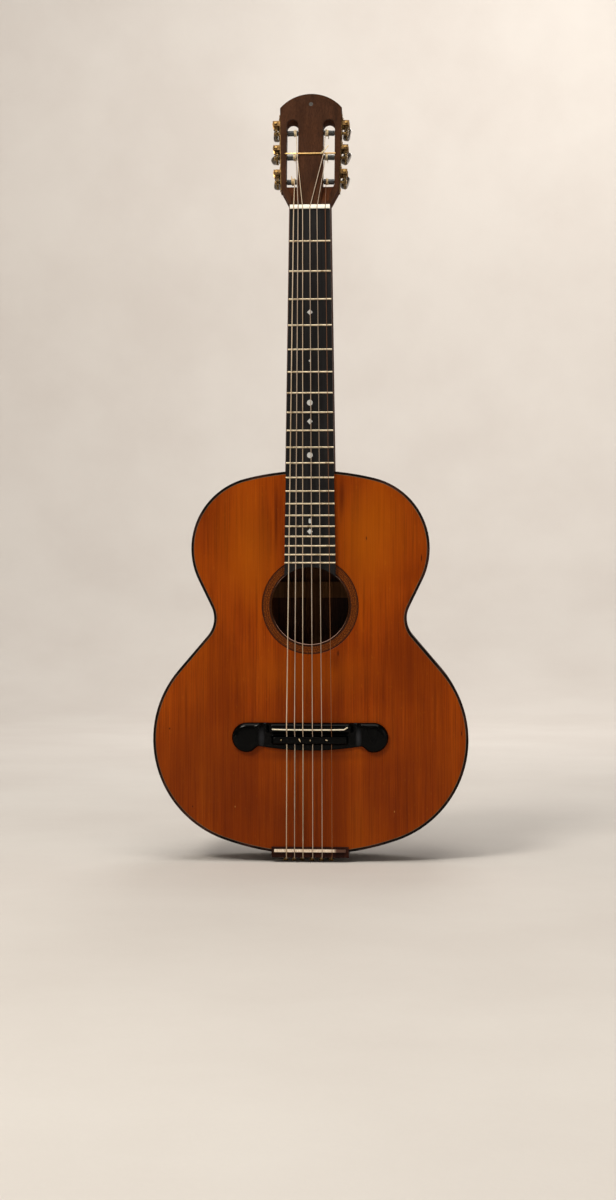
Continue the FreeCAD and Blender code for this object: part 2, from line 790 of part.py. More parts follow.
def ramp_shape(side):
    """Channel from the nut down into a slot, with a sloping floor."""
    start = dim("slot_start")
    end = start + dim("ramp_overlap")
    corners = [
        (dim("ramp_inner"), -1.0),
        (dim("ramp_outer"), -1.0),
        (dim("ramp_outer") + 0.9, dim("ramp_bend")),
        (dim("slot_outer"), start),
        (dim("slot_outer"), end),
        (dim("slot_inner"), end),
        (dim("slot_inner"), start),
    ]
    plan = prism([Vector(x * side, -5, z) for x, z in corners], Vector(0, 30, 0))
    reach, lead, lip = dim("slot_outer") * 2, 2.0, 0.4
    floor = [
        Vector(-reach, -5, -lead),
        Vector(-reach, lip, -lead),
        Vector(-reach, lip + dim("ramp_slope") * (end + lead), end + lead),
        Vector(-reach, -5, end + lead),
    ]
    return plan.common(prism(floor, Vector(2 * reach, 0, 0)))


def dot_shape():
    """Round inlay near the head's crest, in the head's frame."""
    place = Vector(0, 0, dim("head_dot_place"))
    return Part.makeCylinder(dim("head_dot_radius"), dim("inlay_depth"), place, Vector(0, 1, 0))


def make_head():
    """Headstock and headplate with slots, ramps and the holes for the rollers; crossbar."""
    total = "dims.headplate_thickness + dims.headstock_thickness"
    slab = padded("head_slab", head_outline(), total, f"-({total})")
    slab.Placement = HEAD
    ramps = own_shape("ramps", Part.makeCompound([ramp_shape(1), ramp_shape(-1)]))
    bores = own_shape("roller_bores", Part.makeCompound(roller_bores()))
    dot_recess = own_shape("dot_recess", dot_shape())
    for name, thickness, lift in (
        ("headplate", "dims.headplate_thickness", "-dims.headplate_thickness"),
        ("headstock", "dims.headstock_thickness", f"-({total})"),
    ):
        body = padded(name + "_blank", head_outline(), thickness, lift)
        for side in (-1, 1):
            pocket(body, new_sketch(body, f"{name}_slot_{side + 1}", slot_outline(side)))
        result = boolean("Cut", name + "_ramped", body, ramps)
        if name == "headplate":
            result = boolean("Cut", name, result, dot_recess)
        else:
            result = boolean("Cut", name, result, bores)
        keep(name, result, HEAD)

    radius, place, half = dim("crossbar_radius"), dim("crossbar_place"), dim("crossbar_half_length")
    bar = rod(Vector(-half, -radius, place), Vector(half, -radius, place), radius)
    keep("head_crossbar", own_shape("head_crossbar", bar, HEAD))
    return slab


# ---------------------------------------------------------------- tuning machines


def side_slant():
    """Angle between the head's sides and its centre line, in degrees."""
    spread = dim("head_high_half_width") - dim("head_low_half_width")
    return math.degrees(math.atan2(spread, dim("head_high_place") - dim("head_low_place")))


def side_frame(side):
    """Frame whose Z runs along one side of the head, within the head's frame."""
    return Placement(Vector(0, 0, 0), Rotation(Vector(0, 1, 0), side_slant() * side))


def side_face():
    """Distance of the head's side from the middle, in the side's frame."""
    slant = math.radians(side_slant())
    return dim("head_low_half_width") * math.cos(slant) - dim("head_low_place") * math.sin(slant)


def side_reach(across, along):
    """Distance in the side's frame of a point that is so far from the head's centre line."""
    slant = math.radians(side_slant())
    return (across - along * math.sin(slant)) / math.cos(slant)


GEAR_PLACE = side_face() + dim("plate_thickness") + dim("worm_pitch_radius") + dim("gear_gap")
MESH_DISTANCE = dim("gear_module") * dim("gear_teeth") / 2 + dim("worm_pitch_radius")
ROWS = [dim("roller_first") + dim("roller_pitch") * row for row in range(3)]
SINK = dim("roller_sink")
# machines 1 to 3 stand on the bass side from the nut upwards, 4 to 6 on the treble side downwards
MACHINES = [(-1, ROWS[0]), (-1, ROWS[1]), (-1, ROWS[2]), (1, ROWS[2]), (1, ROWS[1]), (1, ROWS[0])]


def across_rod(side, start, end, row, radius):
    """A cylinder across the head's side, in the side's frame."""
    return rod(Vector(start * side, SINK, row), Vector(end * side, SINK, row), radius)


def roller_bores():
    """Holes in the head for the roller shafts: through the rail and a short way into the middle."""
    bores = []
    for side, row in MACHINES:
        inner = side_reach(dim("slot_inner"), row)
        outer = side_reach(dim("slot_outer"), row)
        wide = dim("shaft_radius") + dim("shaft_clearance")
        bore = across_rod(side, outer - 1, side_face() + 2, row, wide)
        seat = across_rod(side, inner - 5, inner + 1, row, wide)
        for shape in (bore, seat):
            shape.Placement = side_frame(side).multiply(shape.Placement)
            bores.append(shape)
    for side in (-1, 1):
        for place in screw_places():
            deep = side_face() + dim("plate_thickness") - dim("screw_length")
            hole = across_rod(side, deep, side_face() + 1, place, dim("screw_radius"))
            hole.Placement = side_frame(side).multiply(hole.Placement)
            bores.append(hole)
    return bores


def gear_shape():
    """Gear wheel round Z, with the middle of a gap on +X."""
    module, teeth = dim("gear_module"), int(dim("gear_teeth"))
    pitch_radius = module * teeth / 2
    tip, root = pitch_radius + dim("tooth_tip") * module, pitch_radius - dim("tooth_root") * module
    step = 360 / teeth
    foot, crest = dim("tooth_foot_share") * step, dim("tooth_crest_share") * step
    tooth = [(root, -foot), (tip, -crest), (tip, crest), (root, foot)]
    corners = []
    for number in range(teeth):
        middle = (number + 0.5) * step
        corners += [polar(radius, middle + turn) for radius, turn in tooth]
    return prism(corners, Vector(0, 0, dim("gear_thickness"))).translated(
        Vector(0, 0, -dim("gear_thickness") / 2)
    )


def worm_shape():
    """Worm round Z with its thread passing +X half way along, its shaft and the button's spindle."""
    lead = math.pi * dim("gear_module")
    half = dim("worm_half_length")
    root = dim("worm_pitch_radius") - dim("worm_root_depth")
    tip = dim("worm_pitch_radius") + dim("worm_tip_height")
    thread_start = -dim("thread_turns") / 2 * lead
    helix = Part.makeHelix(lead, dim("thread_turns") * lead, root)
    helix.translate(Vector(0, 0, thread_start))
    base = Vector(root - dim("thread_sink"), 0, thread_start)
    depth = tip - base.x
    root_half = Vector(0, 0, dim("thread_root_width") / 2)
    tip_half = Vector(0, 0, dim("thread_tip_width") / 2)
    crest = base + Vector(depth, 0, 0)
    corners = [base - root_half, crest - tip_half, crest + tip_half, base + root_half, base - root_half]
    thread = Part.Wire(helix.Edges).makePipeShell([Part.makePolygon(corners)], True, True)
    plain = dim("worm_plain_end")
    room = Part.makeCylinder(tip + 1, 2 * (half - plain), Vector(0, 0, plain - half))
    core = Part.makeCylinder(root, 2 * half, Vector(0, 0, -half))
    shaft_start = -half - dim("spindle_tail")
    shaft_end = dim("button_place") - dim("button_length") / 2 + dim("spindle_overlap")
    shaft = Part.makeCylinder(dim("worm_shaft_radius"), shaft_end - shaft_start, Vector(0, 0, shaft_start))
    return core.fuse([thread.common(room), shaft])


def button_shape():
    """Oval button round a spindle along Z, with softened rims."""
    oval = Part.Ellipse(Vector(0, 0, 0), dim("button_width") / 2, dim("button_length") / 2)
    face = Part.Face(Part.Wire([oval.toShape()]))
    blank = face.extrude(Vector(0, 0, dim("button_thickness")))
    blank = blank.makeFillet(dim("button_thickness") * dim("button_rim_share"), blank.Edges)
    blank.translate(Vector(0, 0, -dim("button_thickness") / 2))
    blank.rotate(Vector(0, 0, 0), Vector(1, 0, 0), 90)
    near_end = -dim("button_length") / 2
    collar_start = near_end + dim("collar_overlap") - dim("collar_length")
    collar = Part.makeCylinder(dim("collar_radius"), dim("collar_length"), Vector(0, 0, collar_start))
    bore_end = Vector(0, 0, near_end + dim("spindle_overlap"))
    bore = rod(Vector(0, 0, near_end * 3), bore_end, dim("worm_shaft_radius"))
    return blank.fuse(collar).cut(bore)


def make_machine(number, side, row):
    """One tuning machine: roller, gear with its shaft, worm with its shaft, and button."""
    frame = HEAD.multiply(side_frame(side))
    inner = side_reach(dim("slot_inner"), row)
    outer = side_reach(dim("slot_outer"), row)
    gap = dim("roller_gap")
    barrel = across_rod(side, inner + gap, outer - gap, row, dim("roller_radius"))
    shaft_end = GEAR_PLACE + dim("gear_thickness") / 2 + dim("gear_shaft_reach")
    shaft = across_rod(side, inner - dim("roller_shaft_seat"), shaft_end, row, dim("shaft_radius"))
    keep(f"tuner_roller_{number}", own_shape(f"tuner_roller_{number}", barrel.cut(shaft), frame))

    gear = gear_shape()
    centre = Vector(GEAR_PLACE * side, SINK, row)
    gear.Placement = Placement(matrix_of(centre, Vector(0, 0, 1), Vector(0, -1, 0), Vector(1, 0, 0)))
    keep(f"tuner_gear_{number}", own_shape(f"tuner_gear_{number}", gear.fuse(shaft), frame))

    worm_centre = centre + Vector(0, 0, MESH_DISTANCE)
    worm_axes = matrix_of(worm_centre, Vector(0, 0, -1), Vector(-1, 0, 0), Vector(0, 1, 0))
    whole = frame.multiply(Placement(worm_axes))
    keep(f"tuner_worm_{number}", own_shape(f"tuner_worm_{number}", worm_shape(), whole))
    turn = Rotation(Vector(0, 0, 1), BUTTON_ANGLES[number - 1])
    turned = Placement(Vector(0, 0, dim("button_place")), turn)
    button = own_shape(f"tuner_button_{number}", button_shape(), whole.multiply(turned))
    keep(f"tuner_button_{number}", button)


def plate_shape(side):
    """Side plate with the ears that carry the three worm shafts."""
    face, thick = side_face(), dim("plate_thickness")
    half = dim("plate_half_width")
    low = Vector(face, SINK - half, dim("plate_start"))
    high = Vector(face + thick, SINK + half, dim("plate_end"))
    plate = solid_box(low, high)
    ear_out = GEAR_PLACE + dim("worm_shaft_radius") + dim("ear_margin")
    ear_gap = dim("worm_half_length") + dim("ear_play")
    cuts = []
    for row in ROWS:
        middle = row + MESH_DISTANCE
        for direction in (-1, 1):
            near = SINK + direction * ear_gap
            far = near + direction * dim("ear_thickness")
            ear_low = Vector(face + thick / 2, min(near, far), middle - dim("ear_half_width"))
            ear_high = Vector(ear_out, max(near, far), middle + dim("ear_half_width"))
            plate = plate.fuse(solid_box(ear_low, ear_high))
        spindle_start = Vector(GEAR_PLACE, SINK - dim("button_place"), middle)
        spindle_end = Vector(GEAR_PLACE, SINK + dim("button_place"), middle)
        cuts.append(rod(spindle_start, spindle_end, dim("worm_shaft_radius") + dim("shaft_clearance")))
        wide = dim("shaft_radius") + dim("shaft_clearance")
        cuts.append(across_rod(1, face - 1, face + thick + 1, row, wide))
    for place in screw_places():
        cuts.append(across_rod(1, face - 1, face + thick + 1, place, dim("screw_radius")))
    plate = plate.cut(cuts).removeSplitter()
    if side < 0:
        plate = plate.mirror(Vector(0, 0, 0), Vector(1, 0, 0))
    return plate


def screw_places():
    """Heights of the plate's screws: at both ends and between the machines."""
    worm_top = MESH_DISTANCE + dim("worm_pitch_radius")
    gear_low = dim("gear_module") * (dim("gear_teeth") / 2 + dim("tooth_tip"))
    between = [(ROWS[row] + worm_top + ROWS[row + 1] - gear_low) / 2 for row in range(2)]
    return [dim("plate_start") + dim("screw_inset")] + between + [dim("plate_end") - dim("screw_inset")]


def screw_shape(side, place):
    """Plate screw with a domed head and a point in the wood."""
    out = side_face() + dim("plate_thickness")
    ball = dim("dome_radius")
    dome = Part.makeSphere(ball, Vector(out - dim("dome_sink"), SINK, place))
    outside = solid_box(Vector(out, SINK - ball, place - ball), Vector(out + ball, SINK + ball, place + ball))
    head = dome.common(outside)
    shank = across_rod(1, out - dim("screw_length"), out + 0.2, place, dim("screw_radius"))
    screw = head.fuse(shank)
    if side < 0:
        screw = screw.mirror(Vector(0, 0, 0), Vector(1, 0, 0))
    return screw


def make_machines():
    """Six tuning machines on two side plates."""
    screws = []
    for side, name in ((-1, "tuner_plate_bass"), (1, "tuner_plate_treble")):
        frame = HEAD.multiply(side_frame(side))
        keep(name, own_shape(name, plate_shape(side), frame))
        for place in screw_places():
            screw = screw_shape(side, place)
            screw.Placement = frame.multiply(screw.Placement)
            screws.append(screw)
    keep("tuner_screws", own_shape("tuner_screws", Part.makeCompound(screws)))
    for number, (side, row) in enumerate(MACHINES, start=1):
        make_machine(number, side, row)


# ---------------------------------------------------------------- nut, bridge and tail


def front(x, rise, z):
    """A point at a height above the soundboard."""
    return Vector(x, -rise, z)


def make_nut(head_slab):
    """Bone nut with a notch for each string, backed by the head's end."""
    half, thick, top = dim("nut_half_width"), dim("nut_thickness"), dim("nut_top")
    crest = thick * dim("nut_crest_share")
    profile = [(0, 0), (0, thick), (top - dim("nut_bevel"), thick), (top, crest), (top, 0)]
    blank = prism([front(-half, rise, z) for rise, z in profile], Vector(2 * half, 0, 0))
    gap = dim("string_gap")
    floor, over = dim("string_rise_nut") - gap, top + 1
    back_floor = floor - dim("nut_notch_fall")
    notches = []
    for place, radius in zip(NUT_PLACES, STRING_RADII):
        corners = [(floor, -1), (floor, 1), (back_floor, thick + 1), (over, thick + 1), (over, -1)]
        points = [front(place - radius - gap, rise, z) for rise, z in corners]
        notches.append(prism(points, Vector(2 * (radius + gap), 0, 0)))
    nut = own_shape("nut_blank", blank.cut(notches))
    keep("nut", boolean("Cut", "nut", nut, head_slab))


def lobe_shape(side):
    """Round domed end of the bridge."""
    radius, height, rim = dim("lobe_radius"), dim("lobe_height"), dim("lobe_rim_height")
    rise = height - rim
    ball = (radius * radius + rise * rise) / (2 * rise)
    centre = Vector(dim("lobe_place") * side, 0, dim("lobe_centre"))
    dome = Part.makeSphere(ball, centre - Vector(0, height - ball, 0))
    return Part.makeCylinder(radius, height + 1, centre, Vector(0, -1, 0)).common(dome)


def bridge_bar(profile, start, half_length):
    """A bar across the bridge from its section, given as (rise, distance from the start) pairs."""
    corners = [front(-half_length, rise, start + step) for rise, step in profile]
    return prism(corners, Vector(2 * half_length, 0, 0))


def make_bridge():
    """Bridge: a flat slab with two domed lobes, a ridge for the saddle and a tie block."""
    top_edge, low_edge = dim("bridge_top_edge"), dim("bridge_low_edge")
    half = dim("bridge_half_span")
    corner = low_edge + dim("bridge_bow")
    bowed = Part.Arc(Vector(half, corner, 0), Vector(0, low_edge, 0), Vector(-half, corner, 0))
    plan = [
        line((-half, top_edge), (half, top_edge)),
        line((half, top_edge), (half, corner)),
        bowed,
        line((-half, corner), (-half, top_edge)),
    ]
    slab = padded("bridge_slab", plan, "dims.bridge_slab_height")

    low = dim("bridge_slab_height") - dim("slab_overlap")
    high = dim("ridge_height")
    profile = [(low, 0), (dim("ridge_near_rise"), 0), (high, -dim("ridge_near_slope"))]
    profile += [(high, -dim("ridge_crest_end")), (dim("ridge_far_rise"), -dim("ridge_far_end"))]
    profile += [(low, -dim("ridge_foot"))]
    ridge = bridge_bar(profile, top_edge, dim("ridge_half_length"))
    start, end = dim("tie_block_start"), dim("tie_block_end")
    high = dim("tie_block_height")
    deep = end - start
    profile = [(low, 0.6), (high - 0.8, 0), (high, -1)]
    profile += [(high, deep + 1), (high - 1, deep), (low, deep - 1.2)]
    block = bridge_bar(profile, start, dim("tie_block_half_length"))
    raised = own_shape("bridge_raised", ridge.fuse([block, lobe_shape(1), lobe_shape(-1)]))
    form = fused("bridge_form", [slab, raised])

    radius, rise = dim("tie_hole_radius"), dim("tie_hole_height")
    cuts = [saddle_blank(-1.0)]
    for place in SADDLE_PLACES:
        cuts.append(rod(front(place, rise, start + 3), front(place, rise, end - 3), radius))
    keep("bridge", boolean("Cut", "bridge", form, own_shape("bridge_cuts", Part.makeCompound(cuts))))

    bone = saddle_blank(0.0)
    crest = [edge for edge in bone.Edges if is_crest(edge)]
    saddle_rim = dim("saddle_thickness") * dim("saddle_rim_share")
    keep("saddle", own_shape("saddle", bone.makeFillet(saddle_rim, crest)))


def is_crest(edge):
    """Whether an edge of the saddle blank runs along its top."""
    return edge.BoundBox.XLength > 50 and abs(edge.BoundBox.YMin + dim("saddle_top")) < 0.1


def saddle_blank(below):
    """Bone bar of the saddle; the same bar, made taller, cuts its slot."""
    half = dim("saddle_half_length")
    near = -dim("scale_length") + dim("saddle_thickness") / 2
    return solid_box(
        Vector(-half, -dim("saddle_top") + below, near - dim("saddle_thickness")),
        Vector(half, -dim("saddle_floor"), near),
    )


def tail_surface(place):
    """Z of the body's tail end at a distance from the centre line."""
    lowest = dim("body_top") - body_length()
    closing = half_outline(0, 1)[-1].Radius
    return lowest + closing - math.sqrt(closing ** 2 - place ** 2)


def make_tail():
    """Tail plate over the edge of the body, bone string rest and hitch pins."""
    half, height = dim("tail_plate_half_length"), dim("tail_plate_height")
    bottom = tail_surface(0)
    below = dim("tail_board_thickness")
    start, deep = dim("tail_plate_start"), dim("tail_board_depth")
    low = bottom - below
    strip = own_shape("tail_strip", solid_box(front(-half, height, low), front(half, 0, start)))
    board_top = bottom + dim("tail_board_overlap")
    board = own_shape("tail_board", solid_box(Vector(-half, 0, low), Vector(half, deep, board_top)))
    rest_low, rest_high = dim("tail_bone_start") - dim("tail_bone_width"), dim("tail_bone_start")
    rest_half = dim("tail_bone_half_length")
    rest_top, rest_floor = dim("tail_bone_top"), dim("tail_bone_floor")
    rest = solid_box(front(-rest_half, rest_top, rest_low), front(rest_half, rest_floor, rest_high))
    around = outline_prism("tail_block_out", 0, "dims.prism_depth + 5", PRISM_LIFT)
    raw = fused("tail_plate_form", [strip, boolean("Cut", "tail_board_fit", board, around)])
    pins = []
    seats = []
    for place, radius in zip(SADDLE_PLACES, STRING_RADII):
        across = pin_across(place, radius)
        seat = Vector(across, dim("pin_place"), bottom + dim("pin_depth"))
        out = Vector(across, dim("pin_place"), low - dim("pin_length"))
        pin = rod(seat, out, dim("pin_radius"))
        head = Part.makeCylinder(dim("pin_head_radius"), dim("pin_head_thickness"), out, Vector(0, 0, -1))
        head = head.makeFillet(dim("pin_head_rim"), [edge for edge in head.Edges if len(edge.Vertexes) == 1])
        pins.append(pin.fuse(head))
        seats.append(pin)
    keep("hitch_pins", own_shape("hitch_pins", Part.makeCompound(pins)))
    tools = own_shape("tail_plate_cuts", Part.makeCompound([rest] + seats))
    keep("tail_plate", boolean("Cut", "tail_plate", raw, tools))

    notches = []
    over = dim("tail_bone_top") + 1
    for place, radius in zip(tail_places(), STRING_RADII):
        reach = radius + dim("string_gap")
        low_corner = front(place - reach, over, rest_low - 1)
        notches.append(solid_box(low_corner, front(place + reach, tail_rise(), rest_high + 1)))
    keep("tail_saddle", own_shape("tail_saddle", rest.cut(notches)))
    return seats


def tail_places():
    """Where the strings cross the tail's string rest."""
    return [place * dim("tail_spread") for place in SADDLE_PLACES]


def tail_rise():
    """Height of the strings' undersides at the tail's string rest."""
    return dim("tail_bone_top") - 0.5


def pin_across(place, radius):
    """Distance of a hitch pin from the centre line: its string runs past its outer side."""
    return place * dim("tail_spread") - (dim("pin_radius") + radius + dim("loop_gap"))


# ---------------------------------------------------------------- strings


def tangent_path(points, radii):
    """Straight runs between points, with a tangent arc at each point between."""
    edges = []
    start = points[0]
    for before, corner, after, radius in zip(points, points[1:], points[2:], radii):
        incoming = (corner - before).normalize()
        outgoing = (after - corner).normalize()
        half_turn = incoming.getAngle(outgoing) / 2
        reach = radius * math.tan(half_turn)
        first = corner - incoming * reach
        last = corner + outgoing * reach
        towards = (outgoing - incoming).normalize()
        middle = corner + towards * (radius / math.cos(half_turn) - radius)
        edges.append(Part.LineSegment(start, first).toShape())
        edges.append(Part.Arc(first, middle, last).toShape())
        start = last
    edges.append(Part.LineSegment(start, points[-1]).toShape())
    return edges


def head_point(x, rise, along):
    """A point given in the head's frame: across, above the headplate and along."""
    return HEAD.multVec(Vector(x, -rise, along))


def roller_approach(number, radius):
    """The string's last points before its roller, from the roller's side."""
    side, row = MACHINES[number - 1]
    across = dim("approach_low" if row == ROWS[0] else "approach_high") * side
    roller_rise = dim("roller_radius") + dim("approach_gap") + radius - SINK
    end = head_point(across, roller_rise, row)
    edge = (dim("slot_inner") + 1.1) * side
    if row == ROWS[2]:
        over_bar = 2 * dim("crossbar_radius") + radius + 0.25
        return [end, head_point(edge, over_bar, dim("crossbar_place"))]
    if row == ROWS[1] and side > 0:
        return [end, head_point(edge, radius + 0.35, dim("approach_bend"))]
    return [end]


def string_route(number):
    """Route of a string from its roller over the nut and the saddle to its hitch pin."""
    radius = STRING_RADII[number - 1]
    at_nut, at_saddle = NUT_PLACES[number - 1], SADDLE_PLACES[number - 1]
    at_tail = tail_places()[number - 1]
    hole_rise = dim("tie_hole_height")
    saddle_z = -dim("scale_length")
    bone_edge = dim("tail_bone_start") - dim("tail_bone_width")
    outside = tail_surface(0) - dim("tail_board_thickness") - radius - 0.5
    points = roller_approach(number, radius)
    bends = [6.0] * (len(points) - 1)
    points += [
        front(at_nut, dim("string_rise_nut") + radius + 0.02, 1.0),
        front(at_saddle, dim("string_rise_saddle") + radius + 0.1, saddle_z),
        front(at_saddle, hole_rise, dim("tie_block_start") + 1.2),
        front(at_saddle, hole_rise, dim("tie_block_end") - 2.0),
        front(at_tail, tail_rise() + radius + 0.15, bone_edge + 0.2),
        front(at_tail, dim("tail_plate_height") + 1.2, outside),
        Vector(at_tail, dim("pin_place"), outside),
    ]
    bends += [5.0, 3.0, 2.2, 8.0, 3.0, 3.0]
    return points, bends


def string_shape(number):
    """One string, swept along its route and looped round its hitch pin."""
    radius = STRING_RADII[number - 1]
    points, bends = string_route(number)
    edges = tangent_path(points, bends)
    end = points[-1]
    loop = dim("pin_radius") + radius + dim("loop_gap")
    centre = end - Vector(loop, 0, 0)
    half_way, last = centre + polar(loop, dim("loop_turn") / 2), centre + polar(loop, dim("loop_turn"))
    edges.append(Part.Arc(end, half_way, last).toShape())
    wire = Part.Wire(edges)
    along = (points[1] - points[0]).normalize()
    section = Part.Wire([Part.makeCircle(radius, points[0], along)])
    shape = wire.makePipeShell([section], True, False)
    expected = math.pi * radius * radius * wire.Length
    if abs(shape.Volume / expected - 1) > 0.01:
        raise RuntimeError(f"string {number}: volume {shape.Volume:.1f}, expected {expected:.1f}")
    return shape


def make_strings():
    """Six strings, from the thickest on the bass side to the thinnest."""
    for number in range(1, len(NUT_PLACES) + 1):
        keep(f"string_{number}", own_shape(f"string_{number}", string_shape(number)))


# ---------------------------------------------------------------- build and write


def cut_seats(label, name, tools):
    """Cut holes for fastenings into a piece that is already made."""
    part = next(part for part in pieces if part.Label == label)
    pieces.remove(part)
    part.Label = label + "_blank"
    keep(label, boolean("Cut", name, part, tools))


back_inside, neck_block, tail_block = make_shell()
make_soundboard()
make_bars(back_inside, neck_block, tail_block)
make_fingerboard()
head_slab = make_head()
make_neck(head_slab)
make_nut(head_slab)
make_bridge()
seats = own_shape("pin_seats", Part.makeCompound(make_tail()))
for label in ("rib_bass", "rib_treble", "tail_block"):
    cut_seats(label, label + "_seated", seats)
make_machines()
make_strings()
doc.recompute()

for item in doc.Objects:
    if "Invalid" in item.State or "Error" in item.State:
        raise RuntimeError(f"{item.Name}: {item.State}")
names = [part.Label for part in pieces]
if len(names) != len(set(names)):
    raise RuntimeError("two pieces share a label")
for part in pieces:
    if part.Shape.isNull() or not part.Shape.isValid() or not part.Shape.Solids:
        raise RuntimeError(f"{part.Label}: no valid shape")
    part.Shape.exportStep(f"parts/{part.Label}.step")
print(len(pieces), "pieces")
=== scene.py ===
"""Looks of a six-string acoustic guitar with a slotted head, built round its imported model.

Metres, +Z up along the neck, the front faces -Y, +X is the side of the thin strings.
"""

import json
import math
import random

import bmesh
import bpy
import numpy as np
from mathutils import Matrix, Vector


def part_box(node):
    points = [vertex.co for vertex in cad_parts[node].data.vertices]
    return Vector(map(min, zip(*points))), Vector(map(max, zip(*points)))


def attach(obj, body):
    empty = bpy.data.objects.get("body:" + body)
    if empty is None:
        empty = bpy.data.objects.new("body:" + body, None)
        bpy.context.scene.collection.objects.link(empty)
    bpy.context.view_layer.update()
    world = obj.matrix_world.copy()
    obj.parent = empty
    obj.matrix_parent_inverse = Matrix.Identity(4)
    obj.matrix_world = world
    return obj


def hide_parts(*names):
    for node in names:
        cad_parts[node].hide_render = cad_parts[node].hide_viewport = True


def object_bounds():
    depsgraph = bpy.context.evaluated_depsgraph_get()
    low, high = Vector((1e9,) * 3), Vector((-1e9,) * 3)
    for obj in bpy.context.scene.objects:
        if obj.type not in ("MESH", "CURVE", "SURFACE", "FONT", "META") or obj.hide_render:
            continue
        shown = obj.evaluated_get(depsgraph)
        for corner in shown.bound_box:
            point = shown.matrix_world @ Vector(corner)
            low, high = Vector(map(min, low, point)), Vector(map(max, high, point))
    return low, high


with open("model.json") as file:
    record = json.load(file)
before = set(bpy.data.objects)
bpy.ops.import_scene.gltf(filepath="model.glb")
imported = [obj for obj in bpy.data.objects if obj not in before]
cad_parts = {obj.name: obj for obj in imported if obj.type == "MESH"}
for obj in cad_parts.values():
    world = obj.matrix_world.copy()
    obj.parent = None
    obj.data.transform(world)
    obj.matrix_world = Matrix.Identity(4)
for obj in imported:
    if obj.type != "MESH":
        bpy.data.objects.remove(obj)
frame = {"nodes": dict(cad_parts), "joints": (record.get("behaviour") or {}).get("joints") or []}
cad_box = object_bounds()
NODES = frame["nodes"]
JOINTS = {joint["name"]: joint for joint in frame["joints"]}
MM = 0.001
TOUCHING = 0.01 * MM  # points closer than this are one
random.seed(7)

# ---------------------------------------- places taken from the frame

HOLE_CENTRE = (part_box("rosette")[0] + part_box("rosette")[1]) / 2
ROSETTE_RADIUS = (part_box("rosette")[1].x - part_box("rosette")[0].x) / 2
BOARD_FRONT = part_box("soundboard")[0].y
SADDLE_LOW, SADDLE_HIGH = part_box("saddle")
BRIDGE_LOW, BRIDGE_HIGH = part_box("bridge")
MACHINES = range(1, 7)


# ---------------------------------------- node helpers


